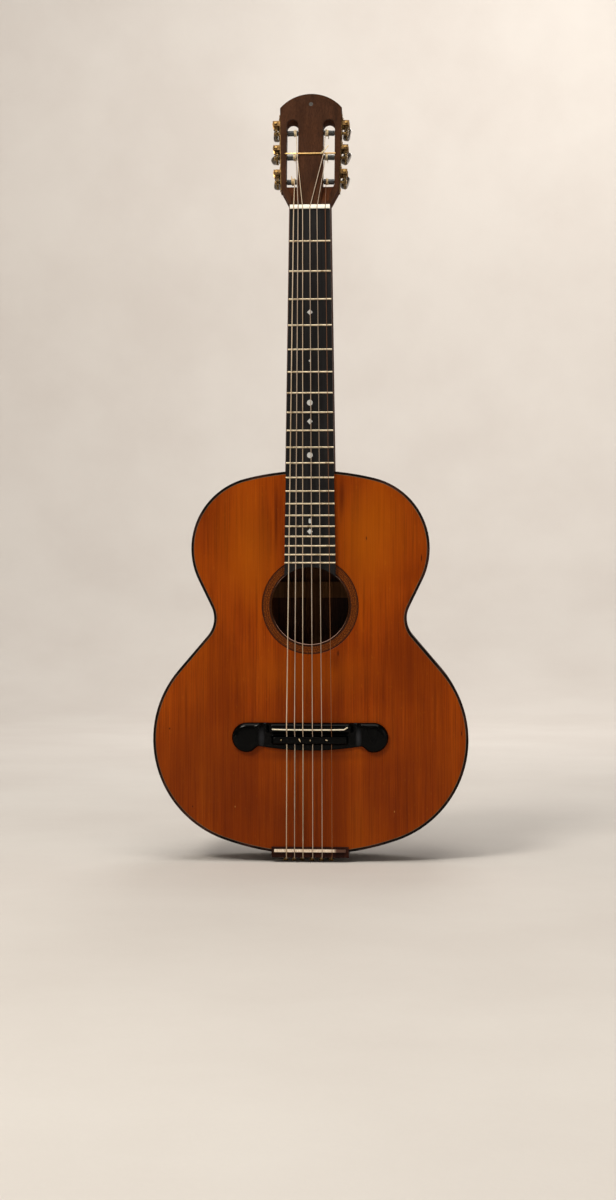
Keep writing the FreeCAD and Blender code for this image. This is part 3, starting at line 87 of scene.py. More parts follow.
class Paint:
    """A material with one principled shader, and short ways to add nodes to it."""

    def __init__(self, name, metallic=0.0, **sockets):
        self.material = bpy.data.materials.new(name)
        self.material.use_nodes = True
        self.tree = self.material.node_tree
        self.shader = self.tree.nodes["Principled BSDF"]
        self.shader.inputs["Metallic"].default_value = metallic
        for socket, value in sockets.items():
            self.shader.inputs[socket.replace("_", " ")].default_value = value
        self.place = self.node("ShaderNodeTexCoord").outputs["Object"]

    def node(self, kind, **settings):
        """A new shader node."""
        made = self.tree.nodes.new(kind)
        for name, value in settings.items():
            setattr(made, name, value)
        return made

    def feed(self, socket, value):
        """Link an output to a socket, or set a plain value on it."""
        if isinstance(value, bpy.types.NodeSocket):
            self.tree.links.new(value, socket)
        else:
            socket.default_value = value

    def math(self, operation, first, second=0.0):
        """One step of arithmetic on outputs or plain numbers."""
        made = self.node("ShaderNodeMath", operation=operation)
        self.feed(made.inputs[0], first)
        self.feed(made.inputs[1], second)
        return made.outputs[0]

    def stretched(self, scale, vector=None):
        """Coordinates multiplied axis by axis."""
        made = self.node("ShaderNodeVectorMath", operation="MULTIPLY")
        self.feed(made.inputs[0], self.place if vector is None else vector)
        made.inputs[1].default_value = scale
        return made.outputs[0]

    def axis(self, index):
        """One coordinate: 0 for X, 1 for Y, 2 for Z."""
        parts = self.node("ShaderNodeSeparateXYZ")
        self.feed(parts.inputs[0], self.place)
        return parts.outputs[index]

    def mirrored(self):
        """Coordinates with the same value on both sides of the centre line, as in book-matched boards."""
        joined = self.node("ShaderNodeCombineXYZ")
        self.feed(joined.inputs[0], self.math("ABSOLUTE", self.axis(0)))
        self.feed(joined.inputs[1], self.axis(1))
        self.feed(joined.inputs[2], self.axis(2))
        return joined.outputs[0]

    def noise(self, scale, detail=4.0, roughness=0.55, vector=None, distortion=0.0):
        """Noise; scale is one number or one per axis, in waves per metre."""
        if isinstance(scale, tuple):
            vector = self.stretched(scale, vector)
            scale = 1.0
        made = self.node("ShaderNodeTexNoise")
        self.feed(made.inputs["Vector"], self.place if vector is None else vector)
        made.inputs["Scale"].default_value = scale
        made.inputs["Detail"].default_value = detail
        made.inputs["Roughness"].default_value = roughness
        made.inputs["Distortion"].default_value = distortion
        return made.outputs[0]

    def ramp(self, value, *stops):
        """Colour ramp; each stop is (position, colour or grey)."""
        made = self.node("ShaderNodeValToRGB")
        self.feed(made.inputs[0], value)
        elements = made.color_ramp.elements
        while len(elements) < len(stops):
            elements.new(0.5)
        for element, (position, colour) in zip(elements, stops):
            element.position = position
            element.color = (*colour, 1.0) if isinstance(colour, tuple) else (colour, colour, colour, 1.0)
        return made.outputs[0]

    def mix(self, factor, first, second, blend="MIX"):
        """Blend of two colours."""
        made = self.node("ShaderNodeMix", data_type="RGBA", blend_type=blend)
        self.feed(made.inputs[0], factor)
        for socket, value in ((made.inputs[6], first), (made.inputs[7], second)):
            self.feed(socket, (*value, 1.0) if isinstance(value, tuple) else value)
        return made.outputs[2]

    def distance(self, centre, scale):
        """Distance from a point, with each axis multiplied by its scale."""
        moved = self.node("ShaderNodeVectorMath", operation="SUBTRACT")
        self.feed(moved.inputs[0], self.place)
        moved.inputs[1].default_value = centre
        length = self.node("ShaderNodeVectorMath", operation="LENGTH")
        self.feed(length.inputs[0], self.stretched(scale, moved.outputs[0]))
        return length.outputs["Value"]

    def smooth(self, value, zero_at, one_at):
        """0 at one value, 1 at another, smooth between."""
        made = self.node("ShaderNodeMapRange", interpolation_type="SMOOTHSTEP")
        self.feed(made.inputs["Value"], value)
        made.inputs["From Min"].default_value = zero_at
        made.inputs["From Max"].default_value = one_at
        return made.outputs[0]

    def dab(self, base, colour, centre, size, amount, soft):
        """Lay a colour over the base inside an ellipsoid round a point, with a soft rim."""
        inside = self.smooth(self.distance(centre, tuple(1 / s for s in size)), 1.0, 1.0 - soft)
        return self.mix(self.math("MULTIPLY", inside, amount), base, colour)

    def finished(self, base, wear, rough, relief, depth, strength=0.5, span=(0.3, 0.7)):
        """The material, with its colour, its roughness over the span of a wear value, and its relief."""
        self.feed(self.shader.inputs["Base Color"], base)
        self.feed(self.shader.inputs["Roughness"], self.ramp(wear, *zip(span, rough)))
        made = self.node("ShaderNodeBump")
        self.feed(made.inputs["Height"], relief)
        made.inputs["Distance"].default_value = depth
        made.inputs["Strength"].default_value = strength
        self.feed(self.shader.inputs["Normal"], made.outputs[0])
        return self.material


# ---------------------------------------- materials


# marks on the soundboard's face, painted sheen (GLOW), painted shade and shadows (SHADE, also the colour of
# the glue line), dents and chips: each row is x, z, half width and half height in mm, and strength
GLOW, SHADE = (0.42, 0.10, 0.001), (0.085, 0.0115, 0.0002)
DING, CHIP = (0.015, 0.004, 0.001), (0.50, 0.22, 0.05)
MARK_DEPTH = 20 * MM
# painted sheen: lighter orange patches standing in for the varnish's reflection
GLOWS = (
    (85, -385, 60, 85, 0.30),
    (-85, -400, 60, 95, 0.22),
    (0, -565, 120, 45, 0.22),
    (60, -410, 45, 110, 0.34),
    (-64, -430, 40, 90, 0.26),
    (0, -655, 80, 50, 0.18),
)
# painted shade and shadows, among them the shadow under the bridge and the shade towards the bottom
SHADES = (
    (-41.5, -372, 3.0, 60, 0.80),
    (-48, -395, 2.4, 50, 0.40),
    (-60, -385, 16, 75, 0.20),
    (38.5, -348, 5, 40, 0.70),
    (0, -600, 70, 130, 0.36),
    (0, -740, 190, 120, 0.50),
    (-115, -570, 60, 100, 0.30),
    (125, -560, 60, 100, 0.34),
    (-130, -680, 100, 120, 0.46),
    (135, -680, 90, 120, 0.30),
    (0, -664, 92, 11, 0.55),
    (30, -548, 10, 20, 0.40),
)
DINGS = (
    (68.4, -400, 1.0, 3.2, 0.80),
    (135.3, -424, 0.9, 6.5, 0.85),
    (34.1, -540, 1.6, 4.8, 0.70),
    (183.7, -637, 0.8, 4.2, 0.80),
    (-171.9, -632, 1.3, 1.8, 0.80),
    (-143.7, -727, 1.1, 1.7, 0.80),
)
CHIPS = ((-91.6, -727, 0.8, 1.6, 0.55), (102.5, -732, 0.9, 1.7, 0.55), (131.0, -505, 0.7, 1.2, 0.55))
GLUE_LINE = ((0, -550, 0.45, 300, 0.35),)
INNER_RING_INSET, HOLE_RIM_INSET = 9.2 * MM, 10.6 * MM  # from the rosette's outer edge


def hole_distance(paint):
    """Distance from the soundhole's axis."""
    return paint.distance(HOLE_CENTRE, (1.0, 0.0, 1.0))


def wood_grain(paint, vector, line_width, run=9.0, bent=False):
    """Fine grain lines and broad streaks, along Z, or along the bent ribs of the body."""
    across = 1 / line_width
    broad_run, broad_across = run * 0.22, across * 0.09
    if bent:
        fine_scale, broad_scale = (run, across, run), (broad_run, broad_across, broad_run)
    else:
        fine_scale, broad_scale = (across, across, run), (broad_across, broad_across, broad_run)
    fine = paint.noise(fine_scale, detail=5.0, roughness=0.7, vector=vector)
    broad = paint.noise(broad_scale, detail=3.0, vector=vector)
    return fine, broad


def make_soundboard_wood():
    """Aged, varnished softwood: fine upright grain, uneven orange and red-brown, painted sheen and painted
    shade, and small dents and chips.
    """
    varnish = {"Coat_Weight": 0.12, "Coat_Roughness": 0.18, "Coat_IOR": 1.4, "Specular_IOR_Level": 0.04}
    paint = Paint("aged_spruce", **varnish)
    fine, broad = wood_grain(paint, paint.mirrored(), 1.3 * MM)
    cloud = paint.noise((11.0, 11.0, 6.0), detail=3.0)
    tone = paint.math("ADD", paint.math("MULTIPLY", broad, 0.45), paint.math("MULTIPLY", cloud, 0.60))
    base = paint.ramp(
        tone,
        (0.36, (0.165, 0.0225, 0.0003)),
        (0.48, (0.225, 0.0330, 0.0004)),
        (0.60, (0.290, 0.0480, 0.0006)),
        (0.74, (0.360, 0.0700, 0.0012)),
    )
    lines = paint.ramp(fine, (0.36, 0.62), (0.50, 1.0), (0.64, 1.25))
    base = paint.mix(0.9, base, lines, "MULTIPLY")
    flecks = paint.noise((420.0, 420.0, 120.0), detail=2.0)
    base = paint.mix(paint.ramp(flecks, (0.62, 0.0), (0.74, 0.20)), base, (0.46, 0.13, 0.006))
    # painted sheen, painted shade, dents, chips, and the real glue line laid in the shade colour
    layers = (
        (GLOWS, GLOW, 0.98),
        (SHADES, SHADE, 0.95),
        (DINGS, DING, 0.7),
        (CHIPS, CHIP, 0.7),
        (GLUE_LINE, SHADE, 0.5),
    )
    for marks, colour, soft in layers:
        for x, z, half_width, half_height, amount in marks:
            size = (half_width * MM, MARK_DEPTH, half_height * MM)
            base = paint.dab(base, colour, (x * MM, BOARD_FRONT, z * MM), size, amount, soft)

    # the rosette's innermost ring, and the bare rim of the soundhole that catches light from above
    radius = hole_distance(paint)
    inside_ring = paint.math("LESS_THAN", radius, ROSETTE_RADIUS - INNER_RING_INSET)
    base = paint.mix(inside_ring, base, (0.050, 0.016, 0.004))
    facing = paint.node("ShaderNodeSeparateXYZ")
    paint.feed(facing.inputs[0], paint.node("ShaderNodeNewGeometry").outputs["Normal"])
    rim = paint.math("LESS_THAN", radius, ROSETTE_RADIUS - HOLE_RIM_INSET)
    lit = paint.ramp(facing.outputs[2], (0.25, 0.0), (0.6, 0.8))
    base = paint.mix(paint.math("MULTIPLY", rim, lit), base, (0.62, 0.38, 0.30))
    worn = paint.noise(26.0, detail=5.0)
    swell = paint.noise((7.0, 7.0, 5.0), detail=1.0)
    height = paint.math("ADD", paint.math("MULTIPLY", fine, 0.35), paint.math("MULTIPLY", swell, 9.0))
    return paint.finished(base, worn, (0.38, 0.55), height, 0.16 * MM, 0.6, span=(0.35, 0.65))


def make_wood(
    name, dark, light, line_width, roughness, coat=0.0, run=8.0, contrast=0.4, pores=0.0, bent=False
):
    """Wood with grain lines, broad streaks and, if asked, varnish and open pores."""
    paint = Paint(name, Coat_Weight=coat, Coat_Roughness=0.2, Coat_IOR=1.3, Specular_IOR_Level=0.05)
    fine, broad = wood_grain(paint, paint.place, line_width, run, bent)
    base = paint.ramp(broad, (0.34, dark), (0.66, light))
    lines = paint.ramp(fine, (0.36, 1.0 - contrast), (0.52, 1.0), (0.68, 1.0 + contrast * 0.4))
    base = paint.mix(0.85, base, lines, "MULTIPLY")
    if pores:
        pits_across, pits_along = 1.6 / line_width, 70.0
        pits = paint.noise((pits_along if bent else pits_across, pits_across, pits_along), detail=2.0)
        base = paint.mix(paint.ramp(pits, (0.60, 0.0), (0.68, pores)), base, tuple(c * 0.2 for c in dark))
    worn = paint.noise(35.0, detail=4.0)
    return paint.finished(base, worn, (roughness - 0.10, roughness + 0.12), fine, 0.08 * MM, 0.6)


def make_rosette_wood():
    """Rings of brown wood round the soundhole, with thin dark lines between."""
    paint = Paint("rosette_wood", Coat_Weight=0.12, Coat_Roughness=0.2, Specular_IOR_Level=0.05)
    ring_width, border = 2.25 * MM, 1.1 * MM
    radius = hole_distance(paint)
    ring = paint.math("SINE", paint.math("MULTIPLY", radius, 2 * math.pi / ring_width))
    flecks = paint.noise(700.0, detail=3.0)
    browns = (0.34, (0.055, 0.0115, 0.0006)), (0.52, (0.120, 0.0255, 0.0013)), (0.68, (0.250, 0.0640, 0.0060))
    base = paint.ramp(flecks, *browns)
    base = paint.mix(paint.ramp(ring, (0.45, 0.0), (0.95, 0.75)), base, (0.026, 0.008, 0.003))
    outer = paint.math("GREATER_THAN", radius, ROSETTE_RADIUS - border)
    inner = paint.math("LESS_THAN", radius, ROSETTE_RADIUS - INNER_RING_INSET)
    base = paint.mix(paint.math("MAXIMUM", outer, inner), base, (0.018, 0.006, 0.003))
    return paint.finished(base, flecks, (0.42, 0.60), paint.math("ADD", ring, flecks), 0.04 * MM, 0.6)


def make_ebony(name, dark, light, roughness, coat, specular, painted_highlights=()):
    """Near-black wood with faint upright grain and a worn polish, with greyer painted highlight bands at the
    given places.
    """
    paint = Paint(name, Coat_Weight=coat, Coat_Roughness=0.1, Specular_IOR_Level=specular)
    fine, broad = wood_grain(paint, paint.place, 0.8 * MM, 14.0)
    base = paint.ramp(broad, (0.35, dark), (0.7, light))
    base = paint.mix(paint.ramp(fine, (0.55, 0.0), (0.72, 0.35)), base, tuple(c * 1.9 for c in light))
    for centre in painted_highlights:
        # painted highlight: a soft grey upright band standing in for the reflection where the carving turns
        base = paint.dab(base, (0.034, 0.035, 0.039), centre, (4.5 * MM, MARK_DEPTH, 17 * MM), 0.85, 0.95)
    worn = paint.noise((30.0, 30.0, 12.0), detail=4.0)
    return paint.finished(base, worn, (roughness - 0.08, roughness + 0.14), fine, 0.05 * MM)


def make_binding():
    """Black binding, worn to purple-brown in patches."""
    paint = Paint("dark_binding", Specular_IOR_Level=0.06)
    wear = paint.noise(22.0, detail=5.0)
    base = paint.ramp(wear, (0.48, (0.005, 0.003, 0.0025)), (0.70, (0.050, 0.020, 0.014)))
    specks = paint.noise(700.0, detail=2.0)
    base = paint.mix(paint.ramp(specks, (0.64, 0.0), (0.72, 0.3)), base, (0.07, 0.03, 0.018))
    return paint.finished(base, wear, (0.45, 0.70), specks, 0.05 * MM)


def translucent(weight, *depths):
    """Socket values for a material that lets red, green and blue light in to these depths."""
    return {"Subsurface_Weight": weight, "Subsurface_Radius": depths, "Subsurface_Scale": 1.0}


def make_bone(name, light, dark):
    """Bone: warm white with fine upright fibres and dirt in patches."""
    paint = Paint(name, Coat_Weight=0.2, **translucent(0.12, 1.2 * MM, 0.9 * MM, 0.6 * MM))
    fibres = paint.noise((900.0, 900.0, 240.0), detail=4.0)
    cloud = paint.noise(120.0, detail=3.0)
    shaded = tuple(0.8 * a + 0.2 * b for a, b in zip(light, dark))
    base = paint.ramp(cloud, (0.34, shaded), (0.6, light))
    base = paint.mix(paint.ramp(fibres, (0.56, 0.0), (0.74, 0.55)), base, dark)
    return paint.finished(base, fibres, (0.28, 0.50), fibres, 0.04 * MM)


def make_tail_bone():
    """The tail's bone: pale, and darker red-brown towards its treble end."""
    paint = Paint("tail_bone", Coat_Weight=0.15)
    pale_to, darker_from, ragged_by = 31.0 * MM, 35.5 * MM, 6 * MM
    fibres = paint.noise((700.0, 700.0, 300.0), detail=4.0)
    ragged = paint.math("ADD", paint.axis(0), paint.math("MULTIPLY", fibres, ragged_by))
    base = paint.ramp(fibres, (0.38, (0.66, 0.50, 0.36)), (0.62, (0.90, 0.79, 0.64)))
    # darker red-brown from the pale part to the treble end, with a ragged edge
    base = paint.mix(paint.smooth(ragged, pale_to, darker_from), base, (0.085, 0.030, 0.014))
    return paint.finished(base, fibres, (0.32, 0.55), fibres, 0.04 * MM)


def make_metal(name, bright, tarnish, roughness, amount):
    """Old yellow metal with tarnish in patches and fine scratches."""
    paint = Paint(name, metallic=1.0)
    patches = paint.noise(190.0, detail=6.0, roughness=0.65)
    scratches = paint.noise((1500.0, 250.0, 1500.0), detail=2.0)
    base = paint.ramp(patches, (0.36, tarnish), (0.36 + amount * 0.4, bright))
    scratched = tuple(min(1, c * 1.25) for c in bright)
    base = paint.mix(paint.ramp(scratches, (0.55, 0.0), (0.75, 0.35)), base, scratched)
    rough = (roughness + 0.25, roughness - 0.06)
    return paint.finished(base, patches, rough, scratches, 0.02 * MM, span=(0.35, 0.62))


def make_horn():
    """Buttons of grey-brown horn, slightly cloudy."""
    depths = (2.0 * MM, 1.3 * MM, 0.8 * MM)
    paint = Paint("button_horn", Coat_Weight=0.5, Coat_Roughness=0.12, **translucent(0.1, *depths))
    cloud = paint.noise(150.0, detail=4.0, distortion=1.2)
    browns = (0.34, (0.020, 0.013, 0.007)), (0.52, (0.070, 0.047, 0.026)), (0.70, (0.150, 0.115, 0.070))
    base = paint.ramp(cloud, *browns)
    veins = paint.noise((600.0, 600.0, 120.0), detail=3.0)
    base = paint.mix(paint.ramp(veins, (0.58, 0.0), (0.70, 0.5)), base, (0.035, 0.022, 0.012))
    return paint.finished(base, veins, (0.18, 0.36), veins, 0.04 * MM, 0.4)


def make_gut(name, light, dark):
    """Gut or silk string: faintly twisted, and darker in patches along its length."""
    paint = Paint(name, **translucent(0.15, 0.8 * MM, 0.5 * MM, 0.3 * MM))
    twist = paint.noise((2600.0, 2600.0, 1500.0), detail=2.0)
    dirt = paint.noise((12.0, 12.0, 9.0), detail=4.0)
    base = paint.ramp(dirt, (0.38, dark), (0.6, light))
    base = paint.mix(paint.ramp(twist, (0.5, 0.0), (0.7, 0.4)), base, dark)
    return paint.finished(base, twist, (0.32, 0.52), twist, 0.05 * MM, 0.6)


def make_winding():
    """Fine metal winding laid round a string, turn against turn."""
    bright, dark, pitch = (0.62, 0.54, 0.42), (0.22, 0.16, 0.10), 0.45 * MM
    paint = Paint("string_winding", metallic=0.85)
    turns = paint.math("SINE", paint.math("MULTIPLY", paint.axis(2), 2 * math.pi / pitch))
    patches = paint.noise(160.0, detail=4.0)
    base = paint.ramp(patches, (0.36, dark), (0.62, bright))
    base = paint.mix(paint.ramp(turns, (0.0, 0.6), (0.5, 0.0)), base, dark)
    return paint.finished(base, patches, (0.50, 0.32), turns, 0.06 * MM, 0.8)


def make_pearl():
    """Mother of pearl: pale, with soft green and pink clouds, but dull and grey on the head."""
    paint = Paint("pearl", Coat_Weight=0.5, Coat_Roughness=0.08)
    cloud = paint.noise(700.0, detail=3.0, distortion=2.0)
    base = paint.ramp(
        cloud,
        (0.34, (0.34, 0.42, 0.40)),
        (0.48, (0.58, 0.60, 0.57)),
        (0.60, (0.62, 0.55, 0.56)),
        (0.72, (0.44, 0.50, 0.56)),
    )
    on_head = paint.math("GREATER_THAN", paint.axis(2), 0.0)
    base = paint.mix(paint.math("MULTIPLY", on_head, 0.96), base, (0.040, 0.032, 0.024))
    return paint.finished(base, cloud, (0.12, 0.30), cloud, 0.03 * MM, 0.4)


def make_roller_black():
    """Black barrel of a roller, grey in worn patches."""
    paint = Paint("black_horn", Coat_Weight=0.4, Coat_Roughness=0.15)
    wear = paint.noise((260.0, 900.0, 900.0), detail=4.0)
    base = paint.ramp(wear, (0.5, (0.010, 0.011, 0.012)), (0.74, (0.085, 0.088, 0.082)))
    return paint.finished(base, wear, (0.22, 0.45), wear, 0.04 * MM)


def make_floor_paint():
    """Plain pale studio floor with a faint mottle."""
    paint = Paint("studio_floor")
    cloud = paint.noise(3.0, detail=6.0)
    base = paint.ramp(cloud, (0.35, (0.65, 0.61, 0.575)), (0.65, (0.69, 0.655, 0.62)))
    grit = paint.noise(260.0, detail=3.0)
    return paint.finished(base, grit, (0.80, 0.95), grit, 0.4 * MM, 0.4)


SPRUCE = make_soundboard_wood()
ROSEWOOD_TONES = (0.022, 0.0065, 0.003), (0.085, 0.027, 0.010)
ROSEWOOD_GRAIN = {"line_width": 1.2 * MM, "run": 6.0, "contrast": 0.55, "pores": 0.6}
ROSEWOOD = make_wood("rosewood", *ROSEWOOD_TONES, roughness=0.5, coat=0.12, **ROSEWOOD_GRAIN)
RIB_ROSEWOOD = make_wood("rib_rosewood", *ROSEWOOD_TONES, roughness=0.55, bent=True, **ROSEWOOD_GRAIN)
HEAD_WOOD = make_wood(
    "head_veneer", (0.034, 0.0125, 0.0050), (0.062, 0.0230, 0.0095), 1.0 * MM, 0.6, run=10.0, pores=0.5
)
CEDAR = make_wood(
    "neck_cedar", (0.050, 0.0140, 0.0045), (0.105, 0.0320, 0.0100), 1.1 * MM, 0.5, coat=0.1, pores=0.5
)
HEAD_CEDAR = make_wood(
    "head_cedar", (0.045, 0.0125, 0.0045), (0.090, 0.0280, 0.0090), 1.1 * MM, 0.75, pores=0.5
)
INSIDE_WOOD = make_wood("inside_spruce", (0.090, 0.038, 0.016), (0.170, 0.080, 0.034), 1.4 * MM, 0.85)
PURFLING = make_wood("purfling_wood", (0.10, 0.085, 0.045), (0.17, 0.14, 0.08), 0.8 * MM, 0.6)
TAIL_GRAIN = {"line_width": 1.2 * MM, "run": 6.0, "contrast": 0.5, "pores": 0.5}
TAIL_WOOD = make_wood(
    "tail_rosewood", (0.014, 0.004, 0.003), (0.045, 0.012, 0.006), roughness=0.5, coat=0.1, **TAIL_GRAIN
)
ROSETTE = make_rosette_wood()
EBONY = make_ebony("fingerboard_ebony", (0.0075, 0.0070, 0.0072), (0.0180, 0.0172, 0.0175), 0.42, 0.05, 0.08)
# the scooped necks of the bridge, where painted highlight bands lie
NECK_X, NECK_Z = BRIDGE_HIGH.x - 36.2 * MM, (BRIDGE_LOW.z + BRIDGE_HIGH.z) / 2
BRIDGE_NECKS = [(side * NECK_X, BRIDGE_LOW.y / 2, NECK_Z) for side in (-1, 1)]
BRIDGE_BLACK = make_ebony(
    "bridge_black", (0.0004, 0.0005, 0.0005), (0.0009, 0.0010, 0.0011), 0.20, 0.13, 0.02, painted_highlights=BRIDGE_NECKS
)
BINDING = make_binding()
BONE = make_bone("old_bone", (0.86, 0.80, 0.62), (0.60, 0.47, 0.27))
NUT_BONE = make_bone("nut_bone", (0.90, 0.87, 0.76), (0.66, 0.58, 0.42))
TAIL_BONE = make_tail_bone()
BRASS = make_metal("old_brass", (0.62, 0.38, 0.13), (0.085, 0.045, 0.018), 0.30, 0.62)
GEAR_BRASS = make_metal("gear_brass", (0.34, 0.22, 0.09), (0.030, 0.020, 0.012), 0.36, 0.7)
PLATE_BRASS = make_metal("plate_brass", (0.26, 0.15, 0.055), (0.035, 0.020, 0.010), 0.36, 0.7)
BAR_BRASS = make_metal("bar_brass", (0.84, 0.55, 0.22), (0.42, 0.22, 0.07), 0.28, 0.4)
FRET_METAL = make_metal("fret_metal", (0.66, 0.56, 0.40), (0.34, 0.26, 0.16), 0.34, 0.35)
HORN = make_horn()
GUT = make_gut("gut", (0.62, 0.50, 0.36), (0.42, 0.31, 0.20))
GREY_GUT = make_gut("grey_gut", (0.48, 0.38, 0.29), (0.32, 0.23, 0.16))
DARK_GUT = make_gut("dark_gut", (0.22, 0.085, 0.025), (0.13, 0.045, 0.012))
PALE_GUT = make_gut("pale_gut", (0.86, 0.72, 0.48), (0.60, 0.42, 0.20))
WINDING = make_winding()
PEARL = make_pearl()
ROLLER = make_roller_black()

FINISHES = {
    "soundboard": SPRUCE,
    "rosette": ROSETTE,
    "back_plate": ROSEWOOD,
    "rib_bass": RIB_ROSEWOOD,
    "rib_treble": RIB_ROSEWOOD,
    "front_binding": BINDING,
    "back_binding": BINDING,
    "headplate": HEAD_WOOD,
    "headstock": HEAD_CEDAR,
    "neck": CEDAR,
    "heel_cap": EBONY,
    "fingerboard": EBONY,
    "frets": FRET_METAL,
    "inlays": PEARL,
    "nut": NUT_BONE,
    "bridge": BRIDGE_BLACK,
    "saddle": BONE,
    "tail_saddle": TAIL_BONE,
    "tail_plate": TAIL_WOOD,
    "hitch_pins": BRASS,
    "head_crossbar": BAR_BRASS,
    "tuner_plate_bass": PLATE_BRASS,
    "tuner_plate_treble": PLATE_BRASS,
    "tuner_screws": BRASS,
}
for hidden in ("neck_block", "tail_block", "front_lining", "back_lining", "soundboard_braces", "back_braces"):
    FINISHES[hidden] = INSIDE_WOOD
for number in MACHINES:
    FINISHES[f"tuner_roller_{number}"] = ROLLER
    FINISHES[f"tuner_gear_{number}"] = GEAR_BRASS
    FINISHES[f"tuner_worm_{number}"] = BRASS
    FINISHES[f"tuner_button_{number}"] = HORN
    FINISHES[f"string_{number}"] = GUT
for number in (2, 4, 5):
    FINISHES[f"string_{number}"] = GREY_GUT
FINISHES["string_6"] = DARK_GUT
# how far the sharp edges of the wooden, bone and metal pieces are rounded, in mm
ROUNDED = {
    "headplate": 0.5,
    "headstock": 0.9,
    "fingerboard": 0.35,
    "neck": 0.6,
    "heel_cap": 0.4,
    "nut": 0.35,
    "tail_plate": 0.5,
    "tail_saddle": 0.4,
    "front_binding": 0.5,
    "back_binding": 0.9,
    "soundboard": 0.8,
    "tuner_plate_bass": 0.2,
    "tuner_plate_treble": 0.2,
    "head_crossbar": 0.25,
}


def finish_cad_nodes():
    """Give every CAD node its material, and round the sharp edges of some."""
    for name, node in NODES.items():
        node.data.materials.clear()
        node.data.materials.append(FINISHES[name])
        width = ROUNDED.get(name)
        if width is None:
            continue
        weld = node.modifiers.new("weld", "WELD")
        weld.merge_threshold = TOUCHING
        bevel = node.modifiers.new("bevel", "BEVEL")
        bevel.width = width * MM
        bevel.segments = 3
        bevel.limit_method = "ANGLE"
        bevel.angle_limit = math.radians(40)
        bevel.harden_normals = True


# ---------------------------------------- mesh helpers


def new_object(name, data):
    """An object with this data, linked to the scene."""
    thing = bpy.data.objects.new(name, data)
    bpy.context.scene.collection.objects.link(thing)
    return thing


def new_mesh(name, vertices, faces, smooth=True):
    """A mesh from vertices and faces, smooth or flat shaded."""
    mesh = bpy.data.meshes.new(name)
    mesh.from_pydata([tuple(v) for v in vertices], [], faces)
    for polygon in mesh.polygons:
        polygon.use_smooth = smooth
    return mesh


def place_piece(name, mesh, material, body):
    """A painted piece that rides on its body."""
    piece = new_object(name, mesh)
    piece.data.materials.clear()
    piece.data.materials.append(material)
    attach(piece, body)
    return piece


def mesh_piece(name, vertices, faces, material, body, smooth=True):
    """A piece made from vertices and faces, with all its normals outwards."""
    mesh = new_mesh(name, vertices, faces, smooth)
    mesh.validate()
    work = bmesh.new()
    work.from_mesh(mesh)
    bmesh.ops.recalc_face_normals(work, faces=work.faces)
    work.to_mesh(mesh)
    work.free()
    return place_piece(name, mesh, material, body)


def ring_faces(rings, size, closed=False):
    """Quads between rings of vertices of one size, and from the last to the first if closed."""
    faces = []
    for ring in range(rings if closed else rings - 1):
        low, high = ring * size, (ring + 1) % rings * size
        for step in range(size):
            following = (step + 1) % size
            faces.append((low + step, low + following, high + following, high + step))
    return faces


def tube_mesh(path, radii, sides):
    """Vertices and faces of a closed tube along a path, with a radius at each point."""
    vertices = []
    across = (path[1] - path[0]).normalized().orthogonal().normalized()
    for index, (point, radius) in enumerate(zip(path, radii)):
        before, after = path[max(index - 1, 0)], path[min(index + 1, len(path) - 1)]
        heading = (after - before).normalized()
        across = (across - heading * across.dot(heading)).normalized()
        other = heading.cross(across)
        for side in range(sides):
            turn = 2 * math.pi * side / sides
            vertices.append(point + (across * math.cos(turn) + other * math.sin(turn)) * radius)
    ends = [tuple(range(sides))[::-1], tuple(range(len(vertices) - sides, len(vertices)))]
    return vertices, ring_faces(len(path), sides) + ends


def smooth_path(points, steps=10):
    """Catmull-Rom curve through the points."""
    ends = [points[0] * 2 - points[1]] + points + [points[-1] * 2 - points[-2]]
    path = []
    for a, b, c, d in zip(ends, ends[1:], ends[2:], ends[3:]):
        for step in range(steps):
            t = step / steps
            place = b * 2 + (c - a) * t
            place += (a * 2 - b * 5 + c * 4 - d) * t * t
            place += (b * 3 - a - c * 3 + d) * t ** 3
            path.append(place / 2)
    return path + [points[-1]]


def turned(profile, segments):
    """Points round Z, a ring of them for each (radius, height) pair."""
    points = []
    for radius, height in profile:
        for step in range(segments):
            turn = 2 * math.pi * step / segments
            points.append(Vector((radius * math.cos(turn), radius * math.sin(turn), height)))
    return points


def lathe(profile, segments):
    """Vertices and faces turned round Z from (radius, height) pairs that start and end on the axis."""
    rings = turned(profile[1:-1], segments)
    low, high, top = len(rings), len(rings) + 1, len(rings) - segments
    faces = ring_faces(len(profile) - 2, segments)
    for step in range(segments):
        following = (step + 1) % segments
        faces.append((low, following, step))
        faces.append((top + step, top + following, high))
    return rings + [Vector((0, 0, height)) for _, height in (profile[0], profile[-1])], faces


def axes_frame(origin, z_axis, x_hint):
    """Matrix with its Z along one direction and its X close to another."""
    z_axis = z_axis.normalized()
    x_axis = (x_hint - z_axis * x_hint.dot(z_axis)).normalized()
    y_axis = z_axis.cross(x_axis)
    matrix = Matrix((x_axis, y_axis, z_axis)).transposed().to_4x4()
    matrix.translation = origin
    return matrix


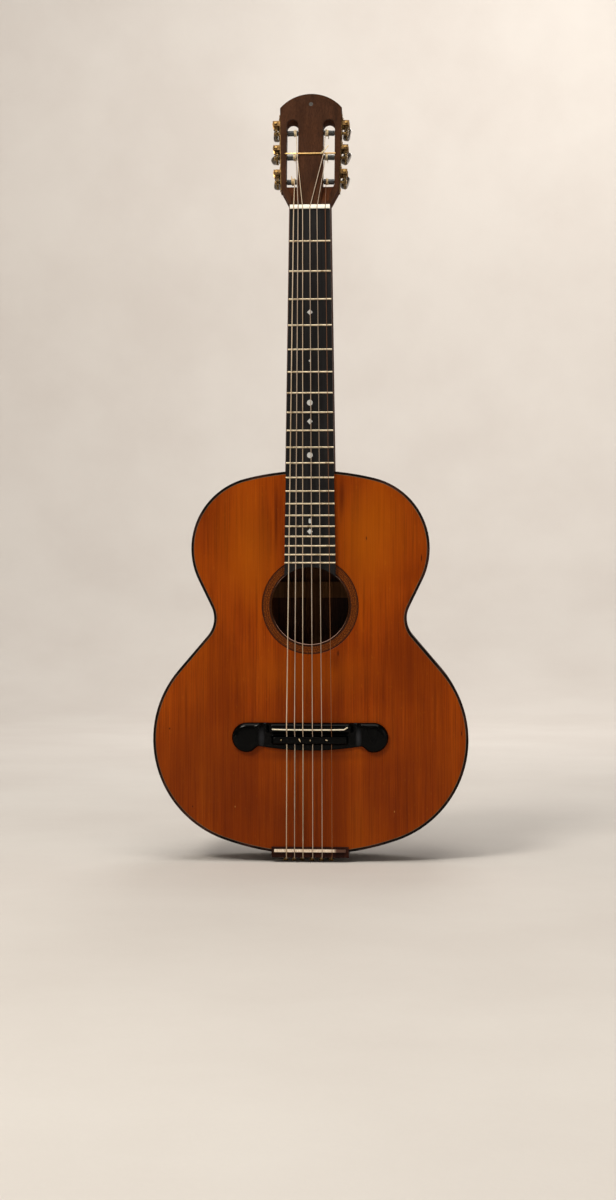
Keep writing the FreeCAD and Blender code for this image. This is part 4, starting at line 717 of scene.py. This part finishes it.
def slotted_head(radius, height, slot_width, slot_depth):
    """Mesh of a domed screw head with a slot, standing on z = 0, with a short wall and a flat middle."""
    wall, flat, steps = 0.35, 0.25, 5
    profile = [(0, 0), (radius, 0), (radius, height * wall)]
    for step in range(1, steps + 1):
        turn = math.radians(90 * step / steps)
        rise = height * (wall + (1 - wall) * math.sin(turn))
        profile.append((radius * (flat + (1 - flat) * math.cos(turn)), rise))
    profile.append((0, height))
    head = new_object("screw_head", new_mesh("screw_head", *lathe(profile, segments=28)))
    cutter_mesh = bpy.data.meshes.new("slot_cutter")
    cutter_form = bmesh.new()
    bmesh.ops.create_cube(cutter_form, size=1.0)
    bmesh.ops.scale(cutter_form, vec=(radius * 3, slot_width, slot_depth * 2), verts=cutter_form.verts)
    bmesh.ops.translate(cutter_form, vec=(0, 0, height), verts=cutter_form.verts)
    cutter_form.to_mesh(cutter_mesh)
    cutter_form.free()
    cutter = new_object("slot_cutter", cutter_mesh)
    cut = head.modifiers.new("slot", "BOOLEAN")
    cut.object = cutter
    cut.operation = "DIFFERENCE"
    cut.solver = "EXACT"
    bevel = head.modifiers.new("soft", "BEVEL")
    bevel.width = radius * 0.05
    bevel.segments = 2
    bevel.limit_method = "ANGLE"
    bpy.context.view_layer.update()
    result = bpy.data.meshes.new_from_object(head.evaluated_get(bpy.context.evaluated_depsgraph_get()))
    for thing in (head, cutter):
        bpy.data.objects.remove(thing)
    return result


def joined(name, mesh, matrices):
    """One mesh from copies of a mesh at several places."""
    work = bmesh.new()
    for matrix in matrices:
        copy = mesh.copy()
        copy.transform(matrix)
        work.from_mesh(copy)
        bpy.data.meshes.remove(copy)
    result = bpy.data.meshes.new(name)
    work.to_mesh(result)
    work.free()
    for polygon in result.polygons:
        polygon.use_smooth = True
    return result


def node_points(name):
    """The corners of a CAD node as an array."""
    return np.array([v.co for v in NODES[name].data.vertices], float)


def farthest(points, start, direction):
    """How far the outermost of the points lies from a start along a direction."""
    return ((points - np.array(start)) @ np.array(direction)).max()


# ---------------------------------------- head pieces


def machine_axes(number):
    """Centre and outward axis of a machine's roller, and the axis of its worm."""
    roller, knob = JOINTS[f"roller_{number}_turn"], JOINTS[f"knob_{number}_turn"]
    centre = Vector(roller["pos_m"])
    outwards = Vector(roller["axis"]).normalized()
    if outwards.x * centre.x < 0:
        outwards.negate()
    return centre, outwards, Vector(knob["axis"]).normalized()


ROLLER_RADIUS = 3.3 * MM
STRING_RADII = [radius * MM for radius in (0.62, 0.54, 0.46, 0.50, 0.42, 0.34)]


def make_gear_screws():
    """A slotted screw on the outer face of each gear."""
    head = slotted_head(radius=2.7 * MM, height=1.1 * MM, slot_width=0.6 * MM, slot_depth=0.5 * MM)
    sunk, twist_step = 0.45 * MM, math.radians(37)
    for number in MACHINES:
        centre, outwards, worm_axis = machine_axes(number)
        twist = Matrix.Rotation(twist_step * number, 4, "Z")
        shaft_end = farthest(node_points(f"tuner_gear_{number}"), centre, outwards)
        place = axes_frame(centre + outwards * (shaft_end - sunk), outwards, worm_axis) @ twist
        name = f"gear_screw_{number}"
        place_piece(name, joined(name, head, [place]), BRASS, f"roller_{number}")


def make_plate_screws():
    """Slotted heads for the screws of the side plates."""
    height, gap, reach = 1.0 * MM, 6 * MM, 3 * MM
    head = slotted_head(radius=2.05 * MM, height=height, slot_width=0.5 * MM, slot_depth=0.5 * MM)
    points = node_points("tuner_screws")
    places = []
    for side, low_machine, high_machine in ((-1, 1, 3), (1, 6, 4)):
        start, outwards, worm_axis = machine_axes(low_machine)
        along = (machine_axes(high_machine)[0] - start).normalized()
        own = points[points[:, 0] * side > 0]
        spread = (own - np.array(start)) @ np.array(along)
        order = np.sort(spread)
        screws = np.split(order, np.where(np.diff(order) > gap)[0] + 1)
        for index, screw in enumerate(screws):
            middle = (screw.min() + screw.max()) / 2
            outer = farthest(own[np.abs(spread - middle) < reach], start, outwards)
            base = start + along * middle + outwards * (outer - height)
            twist = Matrix.Rotation(math.radians(50 * index + 20 * side), 4, "Z")
            places.append(axes_frame(base, outwards, worm_axis) @ twist)
    name = "plate_screw_heads"
    piece = place_piece(name, joined(name, head, places), BRASS, "guitar")
    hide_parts("tuner_screws")


def string_top(number):
    """Centre of a string's upper end, where it meets its roller."""
    points = node_points(f"string_{number}")
    same_height = 0.05 * MM
    end = points[points[:, 2] > points[:, 2].max() - same_height]
    return Vector(end.mean(0))


def make_string_coils():
    """Turns of each string round its roller, with the cut end standing off."""
    thinned, pitch, steps_per_turn = 0.92, 2.12, 30
    cut_end = ((0.3, 0.2 * MM), (0.65, 0.9 * MM), (1.0, 1.9 * MM))
    for number in MACHINES:
        centre, outwards, _ = machine_axes(number)
        radius = STRING_RADII[number - 1] * thinned
        end = string_top(number)
        start = centre + outwards * (end - centre).dot(outwards)
        front = (end - start) - outwards * (end - start).dot(outwards)
        reach = front.length
        front.normalize()
        round_axis = outwards.cross(front).normalized()
        if round_axis.z < 0:
            round_axis.negate()
        coil_radius = ROLLER_RADIUS + radius
        turns = 3.0 + 0.13 * number
        steps = int(turns * steps_per_turn)
        path = []
        for step in range(steps + 1):
            turn = 2 * math.pi * turns * step / steps
            lift = coil_radius + (reach - coil_radius) * max(0.0, 1 - turn / math.pi)
            drift = pitch * radius * turn / (2 * math.pi)
            spin = front * math.cos(turn) + round_axis * math.sin(turn)
            path.append(start + outwards * drift + spin * lift)
        heading = (path[-1] - path[-2]).normalized()
        away = (path[-1] - start - outwards * (path[-1] - start).dot(outwards)).normalized()
        tail = path[-1]
        stub = (4.0 + 1.5 * random.random()) * MM
        path += [tail + heading * stub * share + away * lifted for share, lifted in cut_end]
        vertices, faces = tube_mesh(path, [radius] * len(path), 8)
        mesh_piece(f"string_coil_{number}", vertices, faces, PALE_GUT, f"roller_{number}")


def make_string_curl():
    """Loose pale end of a string that stands up beside the crossbar."""
    low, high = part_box("head_crossbar")
    middle = (low + high) / 2
    # each point is x, the distance in front of the bar and the height over its middle, in mm
    route = ((12.5, 0.2, -0.8), (15.0, 1.2, 1.4), (17.5, 1.6, 3.0), (19.5, 1.0, 6.0), (22.2, 0.2, 9.2))
    points = [Vector((x * MM, low.y - front * MM, middle.z + rise * MM)) for x, front, rise in route]
    path = smooth_path(points)
    radius, taper = 0.75 * MM, 0.25
    radii = [radius * (1 - taper * step / len(path)) for step in range(len(path))]
    vertices, faces = tube_mesh(path, radii, 10)
    mesh_piece("string_knot_end", vertices, faces, PALE_GUT, "guitar")


# ---------------------------------------- body pieces


def soundboard_rim():
    """Corners of the soundboard's outer edge on its front face, in order."""
    work = bmesh.new()
    work.from_mesh(NODES["soundboard"].data)
    bmesh.ops.remove_doubles(work, verts=work.verts, dist=TOUCHING)
    flat = [face for face in work.faces if all(abs(v.co.y - BOARD_FRONT) < TOUCHING for v in face.verts)]
    front = set(flat)
    following = {}
    for face in flat:
        for loop in face.loops:
            if not any(other in front for other in loop.edge.link_faces if other is not face):
                following[loop.vert.index] = (loop.link_loop_next.vert.index, loop.vert.co.copy())
    work.free()
    chains = []
    while following:
        here, chain = next(iter(following)), []
        while here in following:
            here, place = following.pop(here)
            chain.append(place)
        chains.append(chain)
    return max(chains, key=lambda chain: max(p.z for p in chain) - min(p.z for p in chain))


def edge_strip(name, chain, start, width, lift, material):
    """A thin strip let into the soundboard along its outer edge."""
    count, sunk = len(chain), -0.6 * MM
    turning = sum(a.x * b.z - b.x * a.z for a, b in zip(chain, chain[1:] + chain[:1]))
    section = ((start, sunk), (start, lift), (start + width, lift), (start + width, sunk))
    rings = ([], [], [], [])
    for index, point in enumerate(chain):
        before, after = chain[index - 1], chain[(index + 1) % count]
        tangent = ((point - before).normalized() + (after - point).normalized()).normalized()
        inwards = Vector((-tangent.z, 0, tangent.x)) * (1 if turning > 0 else -1)
        for ring, (inset, rise) in zip(rings, section):
            ring.append(point + inwards * inset - Vector((0, rise, 0)))
    faces = ring_faces(len(rings), count, closed=True)
    mesh_piece(name, [p for ring in rings for p in ring], faces, material, "guitar", smooth=False)


def make_purfling():
    """A dark strip inside the binding and a thin pale line inside that."""
    chain = soundboard_rim()
    edge_strip("dark_purfling", chain, -0.3 * MM, 1.5 * MM, lift=0.06 * MM, material=BINDING)
    edge_strip("pale_purfling", chain, 1.25 * MM, 0.4 * MM, lift=0.04 * MM, material=PURFLING)


def smoothstep(low, high, value):
    """0 below low, 1 above high, smooth between."""
    share = min(1.0, max(0.0, (value - low) / (high - low)))
    return share * share * (3 - 2 * share)


LOBE_RADIUS = 18.0 * MM
BRIDGE_WALL = 1.2 * MM
BRIDGE_LOW_EDGE, BRIDGE_BOW, BRIDGE_HALF_SPAN = -658.2 * MM, 6.0 * MM, 66.0 * MM
SLAB_HEIGHT, LOBE_HEIGHT, RIDGE_HEIGHT, BLOCK_HEIGHT = 4.2 * MM, 8.4 * MM, 4.6 * MM, 4.8 * MM
SCOOP_X, SCOOP_WIDTH, SCOOP_DEPTH = 56.5 * MM, 4.2 * MM, 1.6 * MM
BLOCK_TOP_Z, BLOCK_LOW_Z = -640.2 * MM, -650.9 * MM


def bridge_edges(x):
    """Upper and lower edge of the bridge at a distance from its middle."""
    top = BRIDGE_HIGH.z
    centre_x, centre_z = BRIDGE_HIGH.x - LOBE_RADIUS, top - LOBE_RADIUS
    low = BRIDGE_LOW_EDGE + BRIDGE_BOW * (x / BRIDGE_HALF_SPAN) ** 2
    chord = math.sqrt(max(0.0, LOBE_RADIUS ** 2 - (x - centre_x) ** 2))
    lobe_low = centre_z - chord
    if x > centre_x:
        return centre_z + chord, lobe_low
    blend = smoothstep(57 * MM, 72 * MM, x)
    return top, low * (1 - blend) + min(low, lobe_low) * blend


def bridge_rise(x, z):
    """Height of the carved bridge over the soundboard, before its rim is rounded."""
    # where the lobe climbs, and where the ridge and the tie block run out, along the bridge
    lobe_climb, ridge_end, block_end = (55 * MM, 64 * MM), (46 * MM, 54 * MM), (43.5 * MM, 47.5 * MM)
    from_top = BRIDGE_HIGH.z - z
    height = SLAB_HEIGHT + (LOBE_HEIGHT - SLAB_HEIGHT) * smoothstep(*lobe_climb, x)
    height -= SCOOP_DEPTH * math.exp(-(((x - SCOOP_X) / SCOOP_WIDTH) ** 2))
    crest = smoothstep(-3.0 * MM, 4.5 * MM, from_top) * (1 - smoothstep(9.5 * MM, 15.0 * MM, from_top))
    height += (1 - smoothstep(*ridge_end, x)) * crest * RIDGE_HEIGHT
    start, end = BRIDGE_HIGH.z - BLOCK_TOP_Z, BRIDGE_HIGH.z - BLOCK_LOW_Z
    opening = smoothstep(start - 1.0 * MM, start + 2.0 * MM, from_top)
    closing = 1 - smoothstep(end - 2.4 * MM, end + 1.0 * MM, from_top)
    return height + (1 - smoothstep(*block_end, x)) * opening * closing * BLOCK_HEIGHT


def rounded_rise(x, z, low, upper, lobe_centre):
    """Height with the rim rounded off, wide over the lobes and tight between them."""
    rim_width, rim_depth, wider, deeper = 2.6 * MM, 2.6 * MM, 5.4 * MM, 3.2 * MM
    inside = min(upper - z, z - low)
    if x > lobe_centre.x:
        inside = LOBE_RADIUS - (Vector((x, 0, z)) - lobe_centre).length
    full = bridge_rise(x, z)
    over_lobe = smoothstep(58 * MM, 68 * MM, x)
    deep = min(full - BRIDGE_WALL, rim_depth + deeper * over_lobe)
    share = min(1.0, max(0.0, inside / (rim_width + wider * over_lobe)))
    return full - deep * (1 - math.sqrt(max(0.0, 1 - (1 - share) ** 2)))


def make_bridge():
    """Carved black bridge with round lobes, scooped necks, a ridge for the saddle and a tie block."""
    half_span = BRIDGE_HIGH.x
    lobe_centre = Vector((half_span - LOBE_RADIUS, 0, BRIDGE_HIGH.z - LOBE_RADIUS))
    columns, rows, short_of_end, sunk = 280, 72, 0.9995, 0.05 * MM
    fractions = [0.5 - 0.5 * math.cos(math.pi * row / rows) for row in range(rows + 1)]
    vertices = []
    for column in range(columns + 1):
        x = -half_span * short_of_end * math.cos(math.pi * column / columns)
        upper, low = bridge_edges(abs(x))
        for share in fractions:
            z = low + (upper - low) * share
            vertices.append(Vector((x, -rounded_rise(abs(x), z, low, upper, lobe_centre), z)))
    across = rows + 1
    faces = []
    for column in range(columns):
        for row in range(rows):
            corner = column * across + row
            faces.append((corner, corner + 1, corner + across + 1, corner + across))
    border = [column * across for column in range(columns + 1)]
    border += [columns * across + row for row in range(1, across)]
    border += [column * across + rows for column in range(columns - 1, -1, -1)]
    border += range(rows - 1, 0, -1)
    floor = len(vertices)
    for index in border:
        point = vertices[index]
        vertices.append(Vector((point.x, sunk, point.z)))
    count = len(border)
    for index in range(count):
        following = (index + 1) % count
        faces.append((border[index], border[following], floor + following, floor + index))
    faces.append(tuple(range(floor, floor + count)))
    piece = mesh_piece("carved_bridge", vertices, faces, BRIDGE_BLACK, "guitar")
    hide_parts("bridge")


def make_saddle():
    """Bone saddle, slightly bowed, with its treble end bent up."""
    half = SADDLE_HIGH.x
    middle = (SADDLE_HIGH.z + SADDLE_LOW.z) / 2
    floor, half_width, crown = 3.2 * MM, 0.75 * MM, 0.9 * MM
    bow, bend, fall = 0.5 * MM, 2.2 * MM, 2.4 * MM
    shoulder = -SADDLE_LOW.y - crown
    crown_steps, columns = 8, 90
    section = [(-half_width, floor), (-half_width, shoulder)]
    for step in range(1, crown_steps):
        turn = math.pi * step / crown_steps
        section.append((-half_width * math.cos(turn), shoulder + crown * math.sin(turn)))
    section += [(half_width, shoulder), (half_width, floor)]
    vertices = []
    for column in range(columns + 1):
        x = -half + 2 * half * column / columns
        line = middle - bow * (1 - (x / half) ** 2)
        line += bend * smoothstep(half - 5.0 * MM, half - 0.4 * MM, x)
        drop = fall * smoothstep(half - 3.5 * MM, half, abs(x))
        for across, rise in section:
            vertices.append(Vector((x, -(rise - drop if rise > floor else rise), line + across)))
    size = len(section)
    ends = [tuple(range(size)), tuple(range(columns * size, (columns + 1) * size))]
    faces = ring_faces(columns + 1, size) + ends
    piece = mesh_piece("bowed_saddle", vertices, faces, BONE, "guitar")
    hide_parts("saddle")


def make_tie_ends():
    """Cut string ends that show on the bridge's tie block."""
    top, front, sunk, proud = -640.4 * MM, -9.5 * MM, 1.2 * MM, 0.45 * MM
    # each end is its x, the drop below the top, the length and the radius in mm, and how far it leans
    ends = (
        (-34.8, 4.6, 1.6, 0.35, 0.10),
        (-12.2, 4.8, 4.2, 0.55, 0.45),
        (0.6, 5.0, 1.8, 0.32, 0.05),
        (20.4, 4.6, 2.0, 0.60, 1.20),
    )
    into, bulge = Vector((0, sunk, 0)), Vector((0, -proud, 0))
    for index, (x, drop, length, radius, lean) in enumerate(ends):
        middle = Vector((x * MM, front, top - drop * MM))
        half = Vector((math.sin(lean), 0, -math.cos(lean))) * length * MM / 2
        offsets = (into - half, -half * 0.7, bulge, half * 0.7, into + half)
        path = smooth_path([middle + offset for offset in offsets])
        vertices, faces = tube_mesh(path, [radius * MM] * len(path), 10)
        mesh_piece(f"tie_end_{index + 1}", vertices, faces, PALE_GUT, "guitar")


def make_string_windings():
    """The thicker wound stretch below the bridge on the second and third string."""
    bridge_z, tail_z, begin_z, front = -640 * MM, -700 * MM, -652.5 * MM, -3 * MM
    thicker, waviness, wave_step, end_share, steps = 1.55, 0.035, 1.9, 0.7, 160
    for number, end_z in ((2, -730 * MM), (3, -768 * MM)):
        points = node_points(f"string_{number}")
        behind = points[(points[:, 2] < bridge_z) & (points[:, 2] > tail_z)]
        at_bridge = behind[behind[:, 2] > behind[:, 2].max() - 0.5 * MM]
        tail = points[(points[:, 2] < tail_z) & (points[:, 1] < front)]
        at_tail = tail[tail[:, 2] < tail[:, 2].min() + 3 * MM]
        upper, lower = Vector(at_bridge.mean(0)), Vector(at_tail.mean(0))
        begin, end = (upper.lerp(lower, (upper.z - z) / (upper.z - lower.z)) for z in (begin_z, end_z))
        path = [begin.lerp(end, step / steps) for step in range(steps + 1)]
        radius = STRING_RADII[number - 1] * thicker
        radii = [radius * (1 + waviness * math.sin(step * wave_step)) for step in range(steps)]
        radii.append(radius * end_share)
        vertices, faces = tube_mesh(path, radii, 12)
        mesh_piece(f"string_winding_{number}", vertices, faces, WINDING, "guitar")


# ---------------------------------------- stage, camera and lights


def make_floor(level):
    """Pale floor that curves up into a round studio wall well outside every camera's place."""
    centre_radius, flat_radius, wall_radius, height = 0.001, 2.8, 4.2, 2.9
    curve = wall_radius - flat_radius
    curve_steps, segments = 12, 96
    profile = [(centre_radius, level), (0.8, level), (flat_radius, level)]
    for step in range(1, curve_steps + 1):
        turn = math.radians(90 * step / curve_steps)
        profile.append((flat_radius + curve * math.sin(turn), level + curve * (1 - math.cos(turn))))
    profile.append((wall_radius, level + height))
    faces = [tuple(range(segments))] + ring_faces(len(profile), segments)
    mesh = new_mesh("studio_floor", turned(profile, segments), faces)
    mesh.materials.append(make_floor_paint())
    new_object("studio_floor", mesh)


def aim(thing, target):
    """Turn a camera or light towards a point."""
    thing.rotation_euler = (Vector(target) - thing.location).to_track_quat("-Z", "Y").to_euler()


def add_light(name, place, target, size, power, colour):
    """A soft rectangular light."""
    lamp = bpy.data.lights.new(name, "AREA")
    lamp.shape = "RECTANGLE"
    lamp.size, lamp.size_y = size
    lamp.energy = power
    lamp.color = colour
    light = new_object(name, lamp)
    light.location = place
    aim(light, target)


def add_lights():
    """Key from above and the left, fill from the right, soft light overhead and behind."""
    middle = (0.0, 0.0, -0.35)
    add_light("key", (-1.1, -1.9, 1.45), middle, (0.8, 0.8), 44.0, (1.0, 0.955, 0.87))
    add_light("fill", (1.9, -1.6, 0.1), middle, (1.2, 1.4), 4.0, (1.0, 0.97, 0.93))
    add_light("overhead", (0.0, -0.9, 2.1), (0.0, -0.1, -0.6), (2.2, 1.9), 42.0, (1.0, 0.955, 0.88))
    add_light("back", (0.6, 2.3, 1.9), (-0.3, 4.2, 0.0), (1.8, 1.2), 48.0, (1.0, 0.96, 0.91))
    add_light("rear", (0.4, 2.4, 1.15), (0.0, 0.0, -0.45), (1.4, 1.0), 16.0, (1.0, 0.97, 0.93))
    world = bpy.data.worlds.new("studio")
    world.use_nodes = True
    background = world.node_tree.nodes["Background"]
    background.inputs["Color"].default_value = (1.0, 0.975, 0.945, 1.0)
    background.inputs["Strength"].default_value = 0.15
    bpy.context.scene.world = world


def add_camera():
    """Level camera a little to the treble side, framed as a tall picture."""
    distance, azimuth, height, aside = 2.30, math.radians(3.0), -0.475, -0.0026
    camera = bpy.data.cameras.new("camera")
    camera.lens = 56.7
    camera.clip_end = 50.0
    view = new_object("camera", camera)
    view.location = (distance * math.sin(azimuth), -distance * math.cos(azimuth), height)
    aim(view, (aside * math.cos(azimuth), aside * math.sin(azimuth), height))
    bpy.context.scene.camera = view


finish_cad_nodes()
make_gear_screws()
make_plate_screws()
make_string_coils()
make_string_curl()
make_purfling()
make_bridge()
make_saddle()
make_tie_ends()
make_string_windings()
make_floor(cad_box[0][2])
add_lights()
add_camera()
bpy.context.scene.view_settings.view_transform = "Standard"
